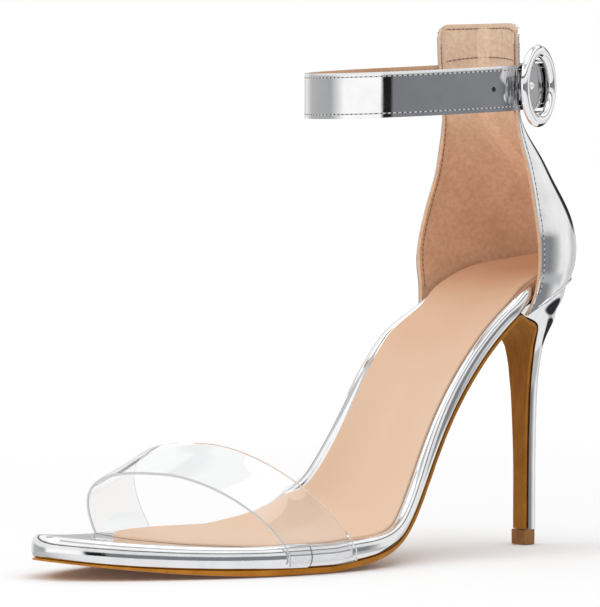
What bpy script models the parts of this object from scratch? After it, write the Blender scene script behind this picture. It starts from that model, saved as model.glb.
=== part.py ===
"""A high-heeled sandal for the left foot, toe toward -Y, outer side toward +X, standing on z = 0.

Stations are distances forward of the seat's back edge. A place on the sole is an across value x,
a length measured along the sole's own curve, and a height square to that curve.
"""
import bpy
import numpy as np
from mathutils import Matrix

MM = 0.001

# Clearance between neighbouring pieces
GAP = 0.3 * MM

# Lengths and heights of the sole
LENGTH = 239.5 * MM
HEEL_HEIGHT = 99.9 * MM
TOE_SPRING = 6.6 * MM
SPRING_POWER = 1.7
BALL_FROM = 145.0 * MM
BALL_TO = 168.0 * MM

# Full widths of the sole
SEAT_WIDTH = 52.8 * MM
WAIST_WIDTH = 42.4 * MM
BALL_WIDTH = 79.0 * MM
TOE_WIDTH = 50.0 * MM
SEAT_SHIFT = -0.8 * MM
TOE_ROUND = 27.0 * MM

# How far the seat's round end reaches forward, outer and inner side
OUTER_SEAT = 32.0 * MM
INNER_SEAT = 45.0 * MM
SEAT_ROUNDNESS = 2.15

# Thicknesses of the layers
OUTSOLE_FORE = 3.0 * MM
OUTSOLE_SHANK = 1.4 * MM
BOARD_FORE = 6.9 * MM
BOARD_SHANK = 5.6 * MM
BOARD_TOE = 5.6 * MM
SOCK_THICKNESS = 0.9 * MM
SOCK_RECESS = 0.8 * MM
SOCK_EASE = 0.3 * MM
SOCK_GAP = 0.5 * MM
SOLE_GAP = 0.6 * MM
ARCH_RISE = 13.2 * MM
ARCH_AT = 84.0 * MM
ARCH_SPREAD = 32.0 * MM
SEAT_CUP = 5.0 * MM
FORE_CUP = 1.8 * MM
FORE_CUP_AT = 164.0 * MM
FORE_CUP_SPREAD = 36.0 * MM
OUTSOLE_INSET = 0.9 * MM
OUTSOLE_COLUMNS = 8
SOCK_INSET = 3.6 * MM
SEAT_INSET = 3.4 * MM
SOCK_TIP = 199.0 * MM
SOCK_TIP_SHIFT = -12.5 * MM
SOCK_ROUND = 34.0 * MM
SOCK_SEAT_ROUND = 24.0 * MM
SOCK_SEAT_FADE = 10.0 * MM
BED_BEFORE_TIP = 10.0 * MM
BED_FADE = 12.0 * MM
ROOM_BEFORE_FRONT = 4.0 * MM
ROOM_FADE = 14.0 * MM

# The heel, its tip and its breast
TIP_WIDTH = 7.4 * MM
TIP_LENGTH = 7.6 * MM
TIP_SET = 10.2 * MM
HEEL_BREAST = 36.7 * MM
LIFT_HEIGHT = 5.6 * MM
FLAP_TURN = 0.862
KNEE_SET = 0.6 * MM
FLAP_GAP = 0.5 * MM
KNEE_BEFORE = 4.0 * MM

# The counter and its tall tab
COUNTER_WALL = 2.0 * MM
COUNTER_BULGE = 2.7 * MM
COUNTER_SWELL = 1.5 * MM
COUNTER_OUTER_FRONT = 31.4 * MM
COUNTER_INNER_FRONT = 45.0 * MM
TAB_TOP = 197.2 * MM
TAB_CORNER = 2.8 * MM
TAB_WIDTH = 41.8 * MM
TAB_FRONT = 41.6 * MM
TAB_DEPTH = 7.0 * MM

# The ankle strap
STRAP_WIDTH = 16.6 * MM
STRAP_THICKNESS = 1.8 * MM
LOOP_HALF_WIDTH = 34.0 * MM
LOOP_FRONT = 114.6 * MM
LOOP_HEIGHT = 169.3 * MM
LOOP_TILT = 0.056
STRAP_CLEAR = 0.5 * MM
STRAP_TURNS = (62, 78, 94, 110, 126, 142, 156, 168)
STRAP_BEHIND = (-2.0 * MM, 4.0 * MM, 10.0 * MM)
STRAP_THROUGH = (-13.5 * MM, -7.0 * MM, 0.0, 7.0 * MM)

# The round buckle
RING_DIAMETER = 30.0 * MM
RING_BAND = 4.8 * MM
RING_THICKNESS = 2.2 * MM
RING_OUT = 33.0 * MM
RING_STATION = 39.8 * MM
RING_TURN = np.radians(24.0)
BAR_DIAMETER = 1.8 * MM
BAR_BACK = 6.0 * MM
BAR_ROOM = 0.75 * MM
PRONG_DIAMETER = 1.7 * MM
PRONG_HOLE = 3.2 * MM
STRAP_END = 13.0 * MM

# The clear strap over the toes
VAMP_THICKNESS = 1.5 * MM
VAMP_GAP = 0.5 * MM
VAMP_OUTER_FRONT = 164.8 * MM
VAMP_OUTER_REAR = 135.2 * MM
VAMP_INNER_FRONT = 189.0 * MM
VAMP_INNER_REAR = 161.3 * MM
VAMP_FRONT_RISE = 27.0 * MM
VAMP_REAR_RISE = 36.8 * MM
VAMP_FRONT_LEAN = 0.40
VAMP_REAR_LEAN = 0.49
VAMP_SIDE_LEAN = -0.165
VAMP_OUTER_POWER = 1.85
VAMP_INNER_POWER = 3.0

# Sole widths: station as a share of the length, which full width, outer share, inner share
WIDTHS = {"seat": SEAT_WIDTH, "waist": WAIST_WIDTH, "ball": BALL_WIDTH, "toe": TOE_WIDTH}
SOLE_WIDTHS = (
    (0.000, "seat", 0.500, 0.500),
    (0.100, "seat", 0.500, 0.500),
    (0.167, "seat", 0.494, 0.474),
    (0.230, "waist", 0.538, 0.586),
    (0.294, "waist", 0.491, 0.528),
    (0.357, "waist", 0.575, 0.515),
    (0.412, "ball", 0.382, 0.296),
    (0.455, "ball", 0.442, 0.340),
    (0.493, "ball", 0.485, 0.384),
    (0.531, "ball", 0.508, 0.427),
    (0.573, "ball", 0.516, 0.457),
    (0.624, "ball", 0.515, 0.480),
    (0.675, "ball", 0.500, 0.495),
    (0.739, "ball", 0.457, 0.490),
    (0.802, "toe", 0.615, 0.725),
    (0.866, "toe", 0.465, 0.640),
    (0.924, "toe", 0.330, 0.560),
    (1.000, "toe", 0.220, 0.520),
)

# Underside of the sole: station as a share of the length, height as a share of the heel height
SOLE_HEIGHTS = (
    (0.000, 1.000),
    (0.048, 0.986),
    (0.107, 0.951),
    (0.167, 0.866),
    (0.230, 0.708),
    (0.294, 0.476),
    (0.357, 0.241),
    (0.412, 0.109),
    (0.455, 0.059),
    (0.493, 0.034),
    (0.531, 0.018),
    (0.573, 0.006),
)

# The heel: height share, then how far its width, back and breast have opened from tip to seat
HEEL_SECTIONS = (
    (0.00, 0.000, 0.000, 0.000),
    (0.17, 0.000, 0.000, 0.000),
    (0.32, 0.004, 0.000, 0.000),
    (0.44, 0.022, 0.004, 0.006),
    (0.55, 0.048, 0.020, 0.012),
    (0.63, 0.079, 0.060, 0.018),
    (0.70, 0.128, 0.125, 0.022),
    (0.76, 0.195, 0.215, 0.040),
    (0.80, 0.300, 0.320, 0.095),
    (0.83, 0.430, 0.410, 0.200),
    (0.86, 0.600, 0.500, 0.480),
    (0.89, 0.760, 0.590, 0.960),
    (0.92, 0.880, 0.690, 1.000),
    (0.96, 0.950, 0.830, 1.000),
    (1.01, 0.990, 0.940, 1.000),
)

# The counter: height share from seat to tab top, then how far its width, outer front edge,
# inner front edge and back have moved from seat to tab
COUNTER_SECTIONS = (
    (-0.12, 0.20, 0.60, 0.00, 0.200),
    (-0.06, 0.19, 0.20, 0.06, 0.150),
    (0.00, 0.15, 0.03, 0.05, 0.091),
    (0.04, 0.08, 0.00, 0.02, 0.043),
    (0.11, 0.01, 0.01, 0.08, 0.000),
    (0.16, 0.00, 0.04, 0.30, 0.003),
    (0.24, 0.09, 0.13, 0.74, 0.058),
    (0.31, 0.19, 0.21, 1.20, 0.170),
    (0.40, 0.41, 0.28, 1.74, 0.362),
    (0.49, 0.62, 0.43, 2.00, 0.550),
    (0.58, 0.81, 0.67, 2.08, 0.800),
    (0.65, 0.93, 0.83, 2.02, 0.960),
    (0.73, 0.97, 0.93, 1.76, 1.000),
    (0.83, 0.99, 1.00, 1.28, 1.000),
    (1.00, 1.00, 1.00, 1.05, 0.990),
)

# The ankle strap's run from the tab's inner edge round the front: across share of the loop's
# half width, forward share from the tab's back to the loop's front
LOOP_RUN = (
    (-0.83, 0.235),
    (-0.935, 0.355),
    (-0.97, 0.460),
    (-0.94, 0.605),
    (-0.81, 0.765),
    (-0.53, 0.920),
    (-0.18, 0.995),
    (0.18, 0.995),
    (0.53, 0.945),
    (0.81, 0.820),
    (0.98, 0.660),
    (1.075, 0.490),
    (1.110, 0.345),
)


def spline(xs, ys, first=None, last=None):
    """A cubic through the table's points: its second derivatives come from one linear system,
    with the end slopes given or left free of bending."""
    xs, ys = np.asarray(xs, float), np.asarray(ys, float)
    n = len(xs)
    step, rise = np.diff(xs), np.diff(ys) / np.diff(xs)
    matrix, right = np.zeros((n, n)), np.zeros(n)
    for i in range(1, n - 1):
        matrix[i, i - 1:i + 2] = step[i - 1], 2 * (step[i - 1] + step[i]), step[i]
        right[i] = 6 * (rise[i] - rise[i - 1])
    matrix[0, 0] = matrix[-1, -1] = 1
    if first is not None:
        matrix[0, :2] = 2 * step[0], step[0]
        right[0] = 6 * (rise[0] - first)
    if last is not None:
        matrix[-1, -2:] = step[-1], 2 * step[-1]
        right[-1] = 6 * (last - rise[-1])
    bend = np.linalg.solve(matrix, right)

    def value(q):
        q = np.asarray(q, float)
        k = np.clip(np.searchsorted(xs, q) - 1, 0, n - 2)
        a, b = xs[k + 1] - q, q - xs[k]
        h = step[k]
        return ((bend[k] * a ** 3 + bend[k + 1] * b ** 3) / (6 * h)
                + (ys[k] / h - bend[k] * h / 6) * a + (ys[k + 1] / h - bend[k + 1] * h / 6) * b)

    return value


def column(table, index):
    """One column of a table as an array."""
    return np.array([row[index] for row in table], float)


def blend(a, b, t):
    return a + (b - a) * t


def ease(t):
    """A soft step from 0 to 1."""
    t = np.clip(t, 0, 1)
    return t * t * (3 - 2 * t)


def signed_power(value, exponent):
    return np.sign(value) * np.abs(value) ** exponent


# The sole's curve

HEIGHT_STATIONS = np.append(column(SOLE_HEIGHTS, 0) * LENGTH, BALL_FROM)
HEIGHT_VALUES = np.append(column(SOLE_HEIGHTS, 1) * HEEL_HEIGHT, 0.0)
rear_height = spline(HEIGHT_STATIONS, HEIGHT_VALUES, last=0.0)


def underside(station):
    """Height of the sole's underside: the table's curve down to the ball, flat under the ball,
    then the toe spring."""
    station = np.asarray(station, float)
    toe = np.clip((station - BALL_TO) / (LENGTH - BALL_TO), 0, None)
    return np.where(station < BALL_FROM, rear_height(np.clip(station, -0.01, BALL_FROM)),
                    TOE_SPRING * toe ** SPRING_POWER)


DENSE = np.linspace(-0.01, LENGTH + 0.01, 1200)
DENSE_HEIGHT = underside(DENSE)
DENSE_RUN = np.concatenate([[0], np.cumsum(np.hypot(np.diff(DENSE), np.diff(DENSE_HEIGHT)))])
DENSE_SLOPE = np.gradient(DENSE_HEIGHT, DENSE)


def run_at(station):
    """Length along the sole's curve at a station."""
    return np.interp(station, DENSE, DENSE_RUN)


def station_at(run):
    return np.interp(run, DENSE_RUN, DENSE)


def arch(x, station):
    """Rise of the inner side at the waist: square across the sole, a bell along it."""
    inner = np.clip(-x / (WAIST_WIDTH / 2), 0, 1.15)
    return ARCH_RISE * inner ** 2 * np.exp(-((station - ARCH_AT) / ARCH_SPREAD) ** 2)


def place(x, run, height):
    """The point at x across, run along the sole's curve and height square to it."""
    station = station_at(run)
    slope = np.interp(station, DENSE, DENSE_SLOPE)
    size = np.hypot(1, slope)
    height = height + arch(x, station)
    y = -(station - slope / size * height)
    z = underside(station) + height / size
    return np.stack([x + 0 * y, y, z], -1)


def cup(x, station):
    """Rise of the footbed's rim: round the seat, where the counter holds it, and inside the ball."""
    across = np.abs(x - SEAT_SHIFT) / (SEAT_WIDTH / 2)
    back = np.clip(1 - station / OUTER_SEAT, 0, 1)
    near = np.clip(np.hypot(across, back), 0, 1)
    outer_fade = np.where(x > 0, OUTER_SEAT, INNER_SEAT)
    inner = np.clip(-x / (BALL_WIDTH / 2), 0, 1)
    ball = FORE_CUP * inner ** 2 * np.exp(-((station - FORE_CUP_AT) / FORE_CUP_SPREAD) ** 2)
    return SEAT_CUP * near ** 3 * (1 - ease(station / outer_fade)) + ball


def outsole_thickness(station):
    return blend(OUTSOLE_SHANK, OUTSOLE_FORE, ease((station - 0.42 * LENGTH) / (0.16 * LENGTH)))


def board_thickness(station):
    fore = blend(BOARD_FORE, BOARD_TOE, ease((station - 0.7 * LENGTH) / (0.3 * LENGTH)))
    return blend(BOARD_SHANK, fore, ease((station - 0.42 * LENGTH) / (0.16 * LENGTH)))


def board_base(station):
    return outsole_thickness(station) + SOLE_GAP


def board_top(station):
    return board_base(station) + board_thickness(station)


# The sole's outline

WIDTH_STATIONS = column(SOLE_WIDTHS, 0) * LENGTH
FULL_WIDTHS = np.array([WIDTHS[row[1]] for row in SOLE_WIDTHS])
SIDES = {
    "outer": (spline(WIDTH_STATIONS, column(SOLE_WIDTHS, 2) * FULL_WIDTHS), OUTER_SEAT, 1),
    "inner": (spline(WIDTH_STATIONS, column(SOLE_WIDTHS, 3) * FULL_WIDTHS), INNER_SEAT, -1),
}


def seat_round(station, reach):
    """Half a superellipse over the seat, 0 at its back edge and 1 from its reach on."""
    t = np.clip((reach - station) / reach, 0, 1)
    return (1 - t ** SEAT_ROUNDNESS) ** (1 / SEAT_ROUNDNESS)


def toe_round(station):
    t = np.clip((station - (LENGTH - TOE_ROUND)) / TOE_ROUND, 0, 1)
    return np.sqrt(1 - t ** 2)


def middle(station):
    """The line between both sides where the outline closes: the seat's shift, then the toe's."""
    toe = (SIDES["outer"][0](LENGTH) - SIDES["inner"][0](LENGTH)) / 2
    return blend(SEAT_SHIFT, toe, ease(station / LENGTH))


def edge(station, side):
    """The outline's signed x on one side at a station."""
    half, reach, sign = SIDES[side]
    rounding = seat_round(station, reach) * toe_round(station)
    shift = SEAT_SHIFT * (1 - ease((station - 0.16 * LENGTH) / (0.1 * LENGTH)))
    full = sign * half(station) + shift
    centre = middle(station)
    return centre + (full - centre) * rounding


def stations_between(first, last, count):
    """Stations that crowd toward both ends, where the outline turns."""
    t = np.linspace(0, 1, count)
    return first + (last - first) * (0.35 * t + 0.65 * (1 - np.cos(np.pi * t)) / 2)


def ring_of(outer, inner, stations):
    """A closed ring of (x, run): out along the outer side, back along the inner one."""
    x = np.concatenate([outer, inner[-2:0:-1]])
    run = run_at(np.concatenate([stations, stations[-2:0:-1]]))
    return np.stack([x, run], -1)


def inset(ring, distance):
    """The ring moved inward, square to itself, by a distance that may differ from point to point."""
    forward = np.roll(ring, -1, 0) - np.roll(ring, 1, 0)
    forward /= np.linalg.norm(forward, axis=1)[:, None]
    inward = np.stack([-forward[:, 1], forward[:, 0]], -1)
    return ring + inward * np.broadcast_to(distance, len(ring))[:, None]


# Meshes

def clear_scene():
    for item in list(bpy.data.objects):
        bpy.data.objects.remove(item, do_unlink=True)


def finish(name, colour, metallic, roughness, **sockets):
    """A Principled material; further sockets by name."""
    material = bpy.data.materials.new(name)
    material.use_nodes = True
    shader = material.node_tree.nodes["Principled BSDF"]
    shader.inputs["Base Color"].default_value = (*colour, 1)
    shader.inputs["Metallic"].default_value = metallic
    shader.inputs["Roughness"].default_value = roughness
    for socket, value in sockets.items():
        shader.inputs[socket.replace("_", " ")].default_value = value
    return material


def build(name, points, faces, material, smooth_angle=35):
    mesh = bpy.data.meshes.new(name)
    mesh.from_pydata([tuple(p) for p in points], [], faces)
    mesh.validate()
    mesh.shade_smooth()
    mesh.set_sharp_from_angle(angle=np.radians(smooth_angle))
    mesh.materials.append(material)
    item = bpy.data.objects.new(name, mesh)
    bpy.context.collection.objects.link(item)
    return item


def across_fill(ring, first, count, columns):
    """Quads across a ring whose points pair up by station, with extra columns between the sides.

    Returns the inner points as (x, run) and the faces; ring points are numbered from first."""
    half = count // 2
    shares = np.linspace(0, 1, columns + 1)[1:-1]
    inner_points, grid = [], [[first] * (columns + 1)]
    number = count
    for k in range(1, half):
        other = count - k
        row = [first + k]
        for share in shares:
            inner_points.append(blend(ring[k], ring[other], share))
            row.append(("new", number))
            number += 1
        row.append(first + other)
        grid.append(row)
    grid.append([first + half] * (columns + 1))
    return np.array(inner_points), grid


def plate(name, outer, inner, stations, rings, bottom, top, columns, material):
    """A closed plate that follows the sole.

    rings are (inset, height) pairs up its edge, the inset a number or an array over the ring;
    each height, and bottom and top for the faces inside, is a function of station and x."""
    base = ring_of(outer, inner, stations)
    count = len(base)
    points, faces, loops = [], [], []
    for distance, height in rings:
        loop = inset(base, distance)
        loops.append(loop)
        points.append(place(loop[:, 0], loop[:, 1], height(station_at(loop[:, 1]), loop[:, 0])))
    for level in range(len(rings) - 1):
        a, b = level * count, (level + 1) * count
        for k in range(count):
            m = (k + 1) % count
            faces.append((a + k, b + k, b + m, a + m))
    total = len(rings) * count
    for loop, first, heights, upward in ((loops[0], 0, bottom, False),
                                         (loops[-1], total - count, top, True)):
        extra, grid = across_fill(loop, first, count, columns)
        start = sum(len(p) for p in points)
        station = station_at(extra[:, 1])
        points.append(place(extra[:, 0], extra[:, 1], heights(station, extra[:, 0])))
        resolved = [[start + cell[1] - count if isinstance(cell, tuple) else cell for cell in row]
                    for row in grid]
        for row, after in zip(resolved[:-1], resolved[1:]):
            for c in range(columns):
                face = list(dict.fromkeys((row[c], row[c + 1], after[c + 1], after[c])))
                faces.append(tuple(face) if upward else tuple(face[::-1]))
    return build(name, np.concatenate(points), faces, material)


def sheet_solid(name, outside, inside, material, closed=False):
    """A closed solid between two grids of points, outside and inside, of the same size."""
    rows, columns = outside.shape[:2]
    points = np.concatenate([outside.reshape(-1, 3), inside.reshape(-1, 3)])
    shift = rows * columns
    faces = []
    for i in range(rows if closed else rows - 1):
        m = (i + 1) % rows
        for j in range(columns - 1):
            quad = (i * columns + j, m * columns + j, m * columns + j + 1, i * columns + j + 1)
            faces.append(quad)
            faces.append(tuple(shift + q for q in quad[::-1]))
        for j, turn in ((0, 1), (columns - 1, -1)):
            rim = (i * columns + j, shift + i * columns + j, shift + m * columns + j, m * columns + j)
            faces.append(rim[::turn])
    if not closed:
        for i, turn in ((0, -1), (rows - 1, 1)):
            for j in range(columns - 1):
                a = i * columns + j
                faces.append((a, shift + a, shift + a + 1, a + 1)[::turn])
    return build(name, points, faces, material)


def grid_normals(grid):
    """Unit normals of a grid of points, from its two directions."""
    along, across = np.gradient(grid, axis=0), np.gradient(grid, axis=1)
    normal = np.cross(along, across)
    return normal / np.linalg.norm(normal, axis=2)[..., None]


def face_outward(item):
    """Turns the whole shell over if its volume comes out negative."""
    mesh = item.data
    mesh.calc_loop_triangles()
    corners = np.empty(len(mesh.vertices) * 3)
    mesh.vertices.foreach_get("co", corners)
    corners = corners.reshape(-1, 3)
    triangles = np.empty(len(mesh.loop_triangles) * 3, int)
    mesh.loop_triangles.foreach_get("vertices", triangles)
    a, b, c = (corners[triangles[k::3]] for k in range(3))
    if np.einsum("ij,ij->i", a, np.cross(b, c)).sum() < 0:
        mesh.flip_normals()
    return item


# The sole's layers

SOLE_STATIONS = stations_between(0.0, LENGTH, 42)


def counter_room(station, side):
    """How far the board stays back for the counter's wall, easing out past its front edge."""
    front = COUNTER_OUTER_FRONT if side == "outer" else COUNTER_INNER_FRONT
    return (COUNTER_WALL + 3 * GAP) * (1 - ease((station - front + ROOM_BEFORE_FRONT) / ROOM_FADE))


def ring_values(function, stations):
    """A function of station and side spread round the ring."""
    outer, inner = function(stations, "outer"), function(stations, "inner")
    return np.concatenate([outer, inner[-2:0:-1]])


def recess(station):
    """Depth of the bed for the sock, which runs out just past the sock's tip."""
    return SOCK_RECESS * (1 - ease((station - SOCK_TIP + BED_BEFORE_TIP) / BED_FADE))


def roll_height(share, sink):
    """Height of one ring of the board's edge: a share of the thickness, less a share of the bed."""
    def height(station, x):
        thick = board_top(station) + cup(x, station) - board_base(station)
        return board_base(station) + share * thick - sink * recess(station)
    return height


def board(material):
    """The wrapped insole board: its edge is a round roll, and a shallow recess takes the sock."""
    stations = SOLE_STATIONS
    outer, inner = edge(stations, "outer"), edge(stations, "inner")
    room = ring_values(counter_room, stations)
    profile = ((2.6, 0.0, 0.0), (0.9, 0.06, 0.0), (0.15, 0.25, 0.0), (0.0, 0.5, 0.0), (0.25, 0.76, 0.0),
               (1.0, 0.94, 0.0), (2.1, 1.0, 0.0), (3.2, 1.0, 1.0))
    rings = [(room + distance * MM, roll_height(share, sink)) for distance, share, sink in profile]

    def bottom(station, x):
        return board_base(station)

    def top(station, x):
        return board_top(station) + cup(x, station) - recess(station)

    return plate("insole_board", outer, inner, stations, rings, bottom, top, 9, material)


def sock_edge(station, side):
    """The sock's outline: inside the board's roll and drawn in to its own pointed tip."""
    sign = 1 if side == "outer" else -1
    half = np.abs(edge(station, side) - middle(station))
    room = counter_room(station, side)
    t = np.clip((station - (SOCK_TIP - SOCK_ROUND)) / SOCK_ROUND, 0, 1)
    centre = blend(middle(station), SOCK_TIP_SHIFT, ease(t))
    seat = OUTER_SEAT if side == "outer" else INNER_SEAT
    held = 1 - ease((station - seat + SOCK_SEAT_FADE) / SOCK_SEAT_FADE)
    reach = np.clip(half - blend(SOCK_INSET, SEAT_INSET, held) - room, 0, None)
    return centre + sign * reach * (1 - t ** 2.2) ** 0.6


def sock(material):
    """The smooth sock laid in the board's recess."""
    first = COUNTER_WALL + 3 * GAP + SEAT_INSET
    stations = stations_between(first, SOCK_TIP, 40)
    outer, inner = sock_edge(stations, "outer"), sock_edge(stations, "inner")
    t = np.clip((stations - first) / SOCK_SEAT_ROUND, 0, 1)
    opening = (1 - (1 - t) ** 2.2) ** (1 / 2.2)
    outer, inner = (middle(stations) + (v - middle(stations)) * np.where(stations < first + SOCK_SEAT_ROUND, opening, 1)
                    for v in (outer, inner))

    def low(station, x):
        return board_top(station) + cup(x, station) - recess(station) + SOCK_GAP

    def high(station, x):
        return low(station, x) + SOCK_THICKNESS

    def shoulder(station, x):
        return high(station, x) - SOCK_EASE

    rings = [(0.0, low), (0.0, shoulder), (SOCK_EASE, high)]
    return plate("sock", outer, inner, stations, rings, low, high, 8, material)


# The heel

FLAP = OUTSOLE_SHANK + FLAP_GAP
HEEL_LEVELS = column(HEEL_SECTIONS, 0) * HEEL_HEIGHT
heel_open_width = spline(HEEL_LEVELS, column(HEEL_SECTIONS, 1))
heel_open_back = spline(HEEL_LEVELS, column(HEEL_SECTIONS, 2))
heel_open_breast = spline(HEEL_LEVELS, column(HEEL_SECTIONS, 3))


def breast_station(z):
    """The heel's own breast, which lies behind the outsole's flap."""
    return blend(TIP_SET + TIP_LENGTH - FLAP, HEEL_BREAST, heel_open_breast(z))


def heel_half(z):
    return blend(TIP_WIDTH / 2, SEAT_WIDTH / 2, heel_open_width(z))


def heel_point(turn, z, forward=0.0):
    """The heel's wall at an angle round its back and a height: half a superellipse that runs from
    the outer breast corner round the back to the inner one."""
    back = blend(TIP_SET, 0.0, heel_open_back(z))
    breast = breast_station(z) + forward
    shift = SEAT_SHIFT * heel_open_width(z)
    x = shift + heel_half(z) * signed_power(np.cos(turn), 2 / SEAT_ROUNDNESS)
    station = breast - (breast - back) * np.abs(np.sin(turn)) ** (2 / SEAT_ROUNDNESS)
    return x, station


def heel_top(turn):
    """Height where a column of the heel's wall meets the sole, found in a few rounds."""
    z = np.full_like(turn, HEEL_HEIGHT)
    for _ in range(40):
        x, station = heel_point(turn, z)
        z = 0.5 * z + 0.5 * (underside(station) + OUTSOLE_SHANK * np.hypot(
            1, np.interp(station, DENSE, DENSE_SLOPE)))
    return z


def column_solid(name, turns, levels, material, low, high, forward=0.0):
    """A solid of stacked heel sections between two heights, which may differ round the wall."""
    rows = []
    for level in levels:
        z = blend(low, high, level)
        x, station = heel_point(turns, z, forward)
        rows.append(np.stack([x, -station, z], -1))
    count = len(turns)
    faces = []
    for i in range(len(rows) - 1):
        for k in range(count):
            m = (k + 1) % count
            faces.append((i * count + k, i * count + m, (i + 1) * count + m, (i + 1) * count + k))
    faces.append(tuple(range(count))[::-1])
    top = (len(rows) - 1) * count
    for k in range(count // 2 - (1 - count % 2)):
        a, b = k, count - 1 - k
        quad = (top + a, top + a + 1, top + b - 1, top + b)
        faces.append(tuple(dict.fromkeys(quad)))
    return face_outward(build(name, np.concatenate(rows), faces, material))


def heel(material):
    turns = np.linspace(0, np.pi, 27)
    top = heel_top(turns)
    levels = np.concatenate([np.linspace(0, 0.66, 6), np.linspace(0.72, 0.84, 4), np.linspace(0.87, 1.0, 9)])
    return column_solid("heel", turns, levels, material, np.full_like(turns, LIFT_HEIGHT + GAP), top)


def top_lift(material):
    turns = np.linspace(0, np.pi, 21)
    return column_solid("top_lift", turns, (0.0, 1.0), material,
                        np.zeros_like(turns), np.full_like(turns, LIFT_HEIGHT), FLAP)


# The outsole, with the flap that it sends down the heel's breast

def outsole_path():
    """The outsole's visible face as (station, height, outer x, inner x, thickness): under the sole
    from toe to breast, round the corner, and down the breast to the top lift."""
    stations = stations_between(HEEL_BREAST + KNEE_BEFORE, LENGTH - OUTSOLE_INSET, 40)[::-1]
    outer, inner = edge(stations, "outer"), edge(stations, "inner")
    thick = outsole_thickness(stations)
    levels = np.concatenate([np.linspace(FLAP_TURN, 0.74, 9), np.linspace(0.66, 0.0, 7)])
    levels = blend(LIFT_HEIGHT + GAP, HEEL_HEIGHT, levels)
    breast = np.stack([breast_station(levels), levels], -1)
    along = np.gradient(breast, axis=0)
    along /= np.linalg.norm(along, axis=1)[:, None]
    down = breast + np.stack([-along[:, 1], along[:, 0]], -1) * FLAP
    half = heel_half(levels)
    shift = SEAT_SHIFT * heel_open_width(levels)
    bend = np.linspace(0, 1, 5)[1:-1]
    start = np.array([stations[-1], underside(stations[-1])])
    knee = np.array([HEEL_BREAST + KNEE_SET, underside(HEEL_BREAST + KNEE_SET)])
    turn = ((1 - bend) ** 2)[:, None] * start + (2 * bend * (1 - bend))[:, None] * knee + (bend ** 2)[:, None] * down[0]
    path = np.concatenate([np.stack([stations, underside(stations)], -1), turn, down])
    outer = np.concatenate([outer, blend(outer[-1], half[0] + shift[0], bend), half + shift])
    inner = np.concatenate([inner, blend(inner[-1], shift[0] - half[0], bend), shift - half])
    thick = np.concatenate([thick, np.full(len(bend) + len(levels), OUTSOLE_SHANK)])
    return path, outer, inner, thick


def outsole(material):
    """A strip along the path: its edge is eased on the visible side, and the arch lifts it with the
    board above."""
    path, outer, inner, thick = outsole_path()
    along = np.gradient(path, axis=0)
    along /= np.linalg.norm(along, axis=1)[:, None]
    inward = np.stack([along[:, 1], -along[:, 0]], -1)
    under = path[:, 0] > HEEL_BREAST + 3 * MM
    slim = np.where(under, OUTSOLE_INSET, 0.2 * MM)
    slim = np.minimum(slim, (outer - inner) * 0.3)
    shares = np.linspace(0, 1, OUTSOLE_COLUMNS + 1)
    across = [(0.0, 0.5, 0.0)] + [(share, 0.0, 1.0) for share in shares] + [(1.0, 0.5, 0.0)]
    across += [(share, 0.0, 0.0) for share in shares[-2:0:-1]]
    rows = []
    for share, ease_in, level in across:
        x = blend(outer - slim, inner + slim, share)
        x = x + np.sign(share - 0.5) * ease_in * MM * np.where(slim > 0.15 * MM, 1, 0.3)
        lift = np.where(under, arch(x, path[:, 0]), 0)
        height = level * thick + lift
        point = path + inward * height[:, None]
        rows.append(np.stack([x, -point[:, 0], point[:, 1]], -1))
    grid = np.stack(rows, 1)
    length, count = grid.shape[:2]
    faces = []
    for i in range(length - 1):
        for k in range(count):
            m = (k + 1) % count
            faces.append((i * count + k, i * count + m, (i + 1) * count + m, (i + 1) * count + k))
    for i, turn in ((0, -1), (length - 1, 1)):
        a = i * count
        for k in range(OUTSOLE_COLUMNS):
            quad = (-k % count, k + 1, k + 2, -(k + 1) % count)
            faces.append(tuple(a + q for q in quad)[::turn])
    return face_outward(build("outsole", grid.reshape(-1, 3), faces, material))


# The counter

COUNTER_LEVELS = HEEL_HEIGHT + column(COUNTER_SECTIONS, 0) * (TAB_TOP - HEEL_HEIGHT)
counter_taper, counter_outer, counter_inner, counter_back = (
    spline(COUNTER_LEVELS, column(COUNTER_SECTIONS, k)) for k in (1, 2, 3, 4))


def counter_point(turn, z):
    """The counter's outside at an angle from its outer front edge round the back to the inner one."""
    half = blend(SEAT_WIDTH / 2 + COUNTER_SWELL, TAB_WIDTH / 2, counter_taper(z))
    outer = blend(COUNTER_OUTER_FRONT, TAB_FRONT, counter_outer(z))
    inner = blend(COUNTER_INNER_FRONT, TAB_FRONT, counter_inner(z))
    back = blend(-COUNTER_BULGE, TAB_FRONT - TAB_DEPTH, counter_back(z))
    front = np.where(np.cos(turn) > 0, outer, inner)
    shift = SEAT_SHIFT * (1 - np.clip(counter_taper(z), 0, 1))
    x = shift + half * signed_power(np.cos(turn), 2 / SEAT_ROUNDNESS)
    station = front - (front - back) * np.abs(np.sin(turn)) ** (2 / SEAT_ROUNDNESS)
    return x, station


def counter_foot(turn):
    """Height where the counter's wall meets the heel and outsole, found in a few rounds."""
    z = np.full_like(turn, HEEL_HEIGHT)
    for _ in range(40):
        x, station = counter_point(turn, z)
        rise = (OUTSOLE_SHANK + GAP) * np.hypot(1, np.interp(station, DENSE, DENSE_SLOPE))
        z = 0.5 * z + 0.5 * (underside(station) + rise)
    return z


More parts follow.
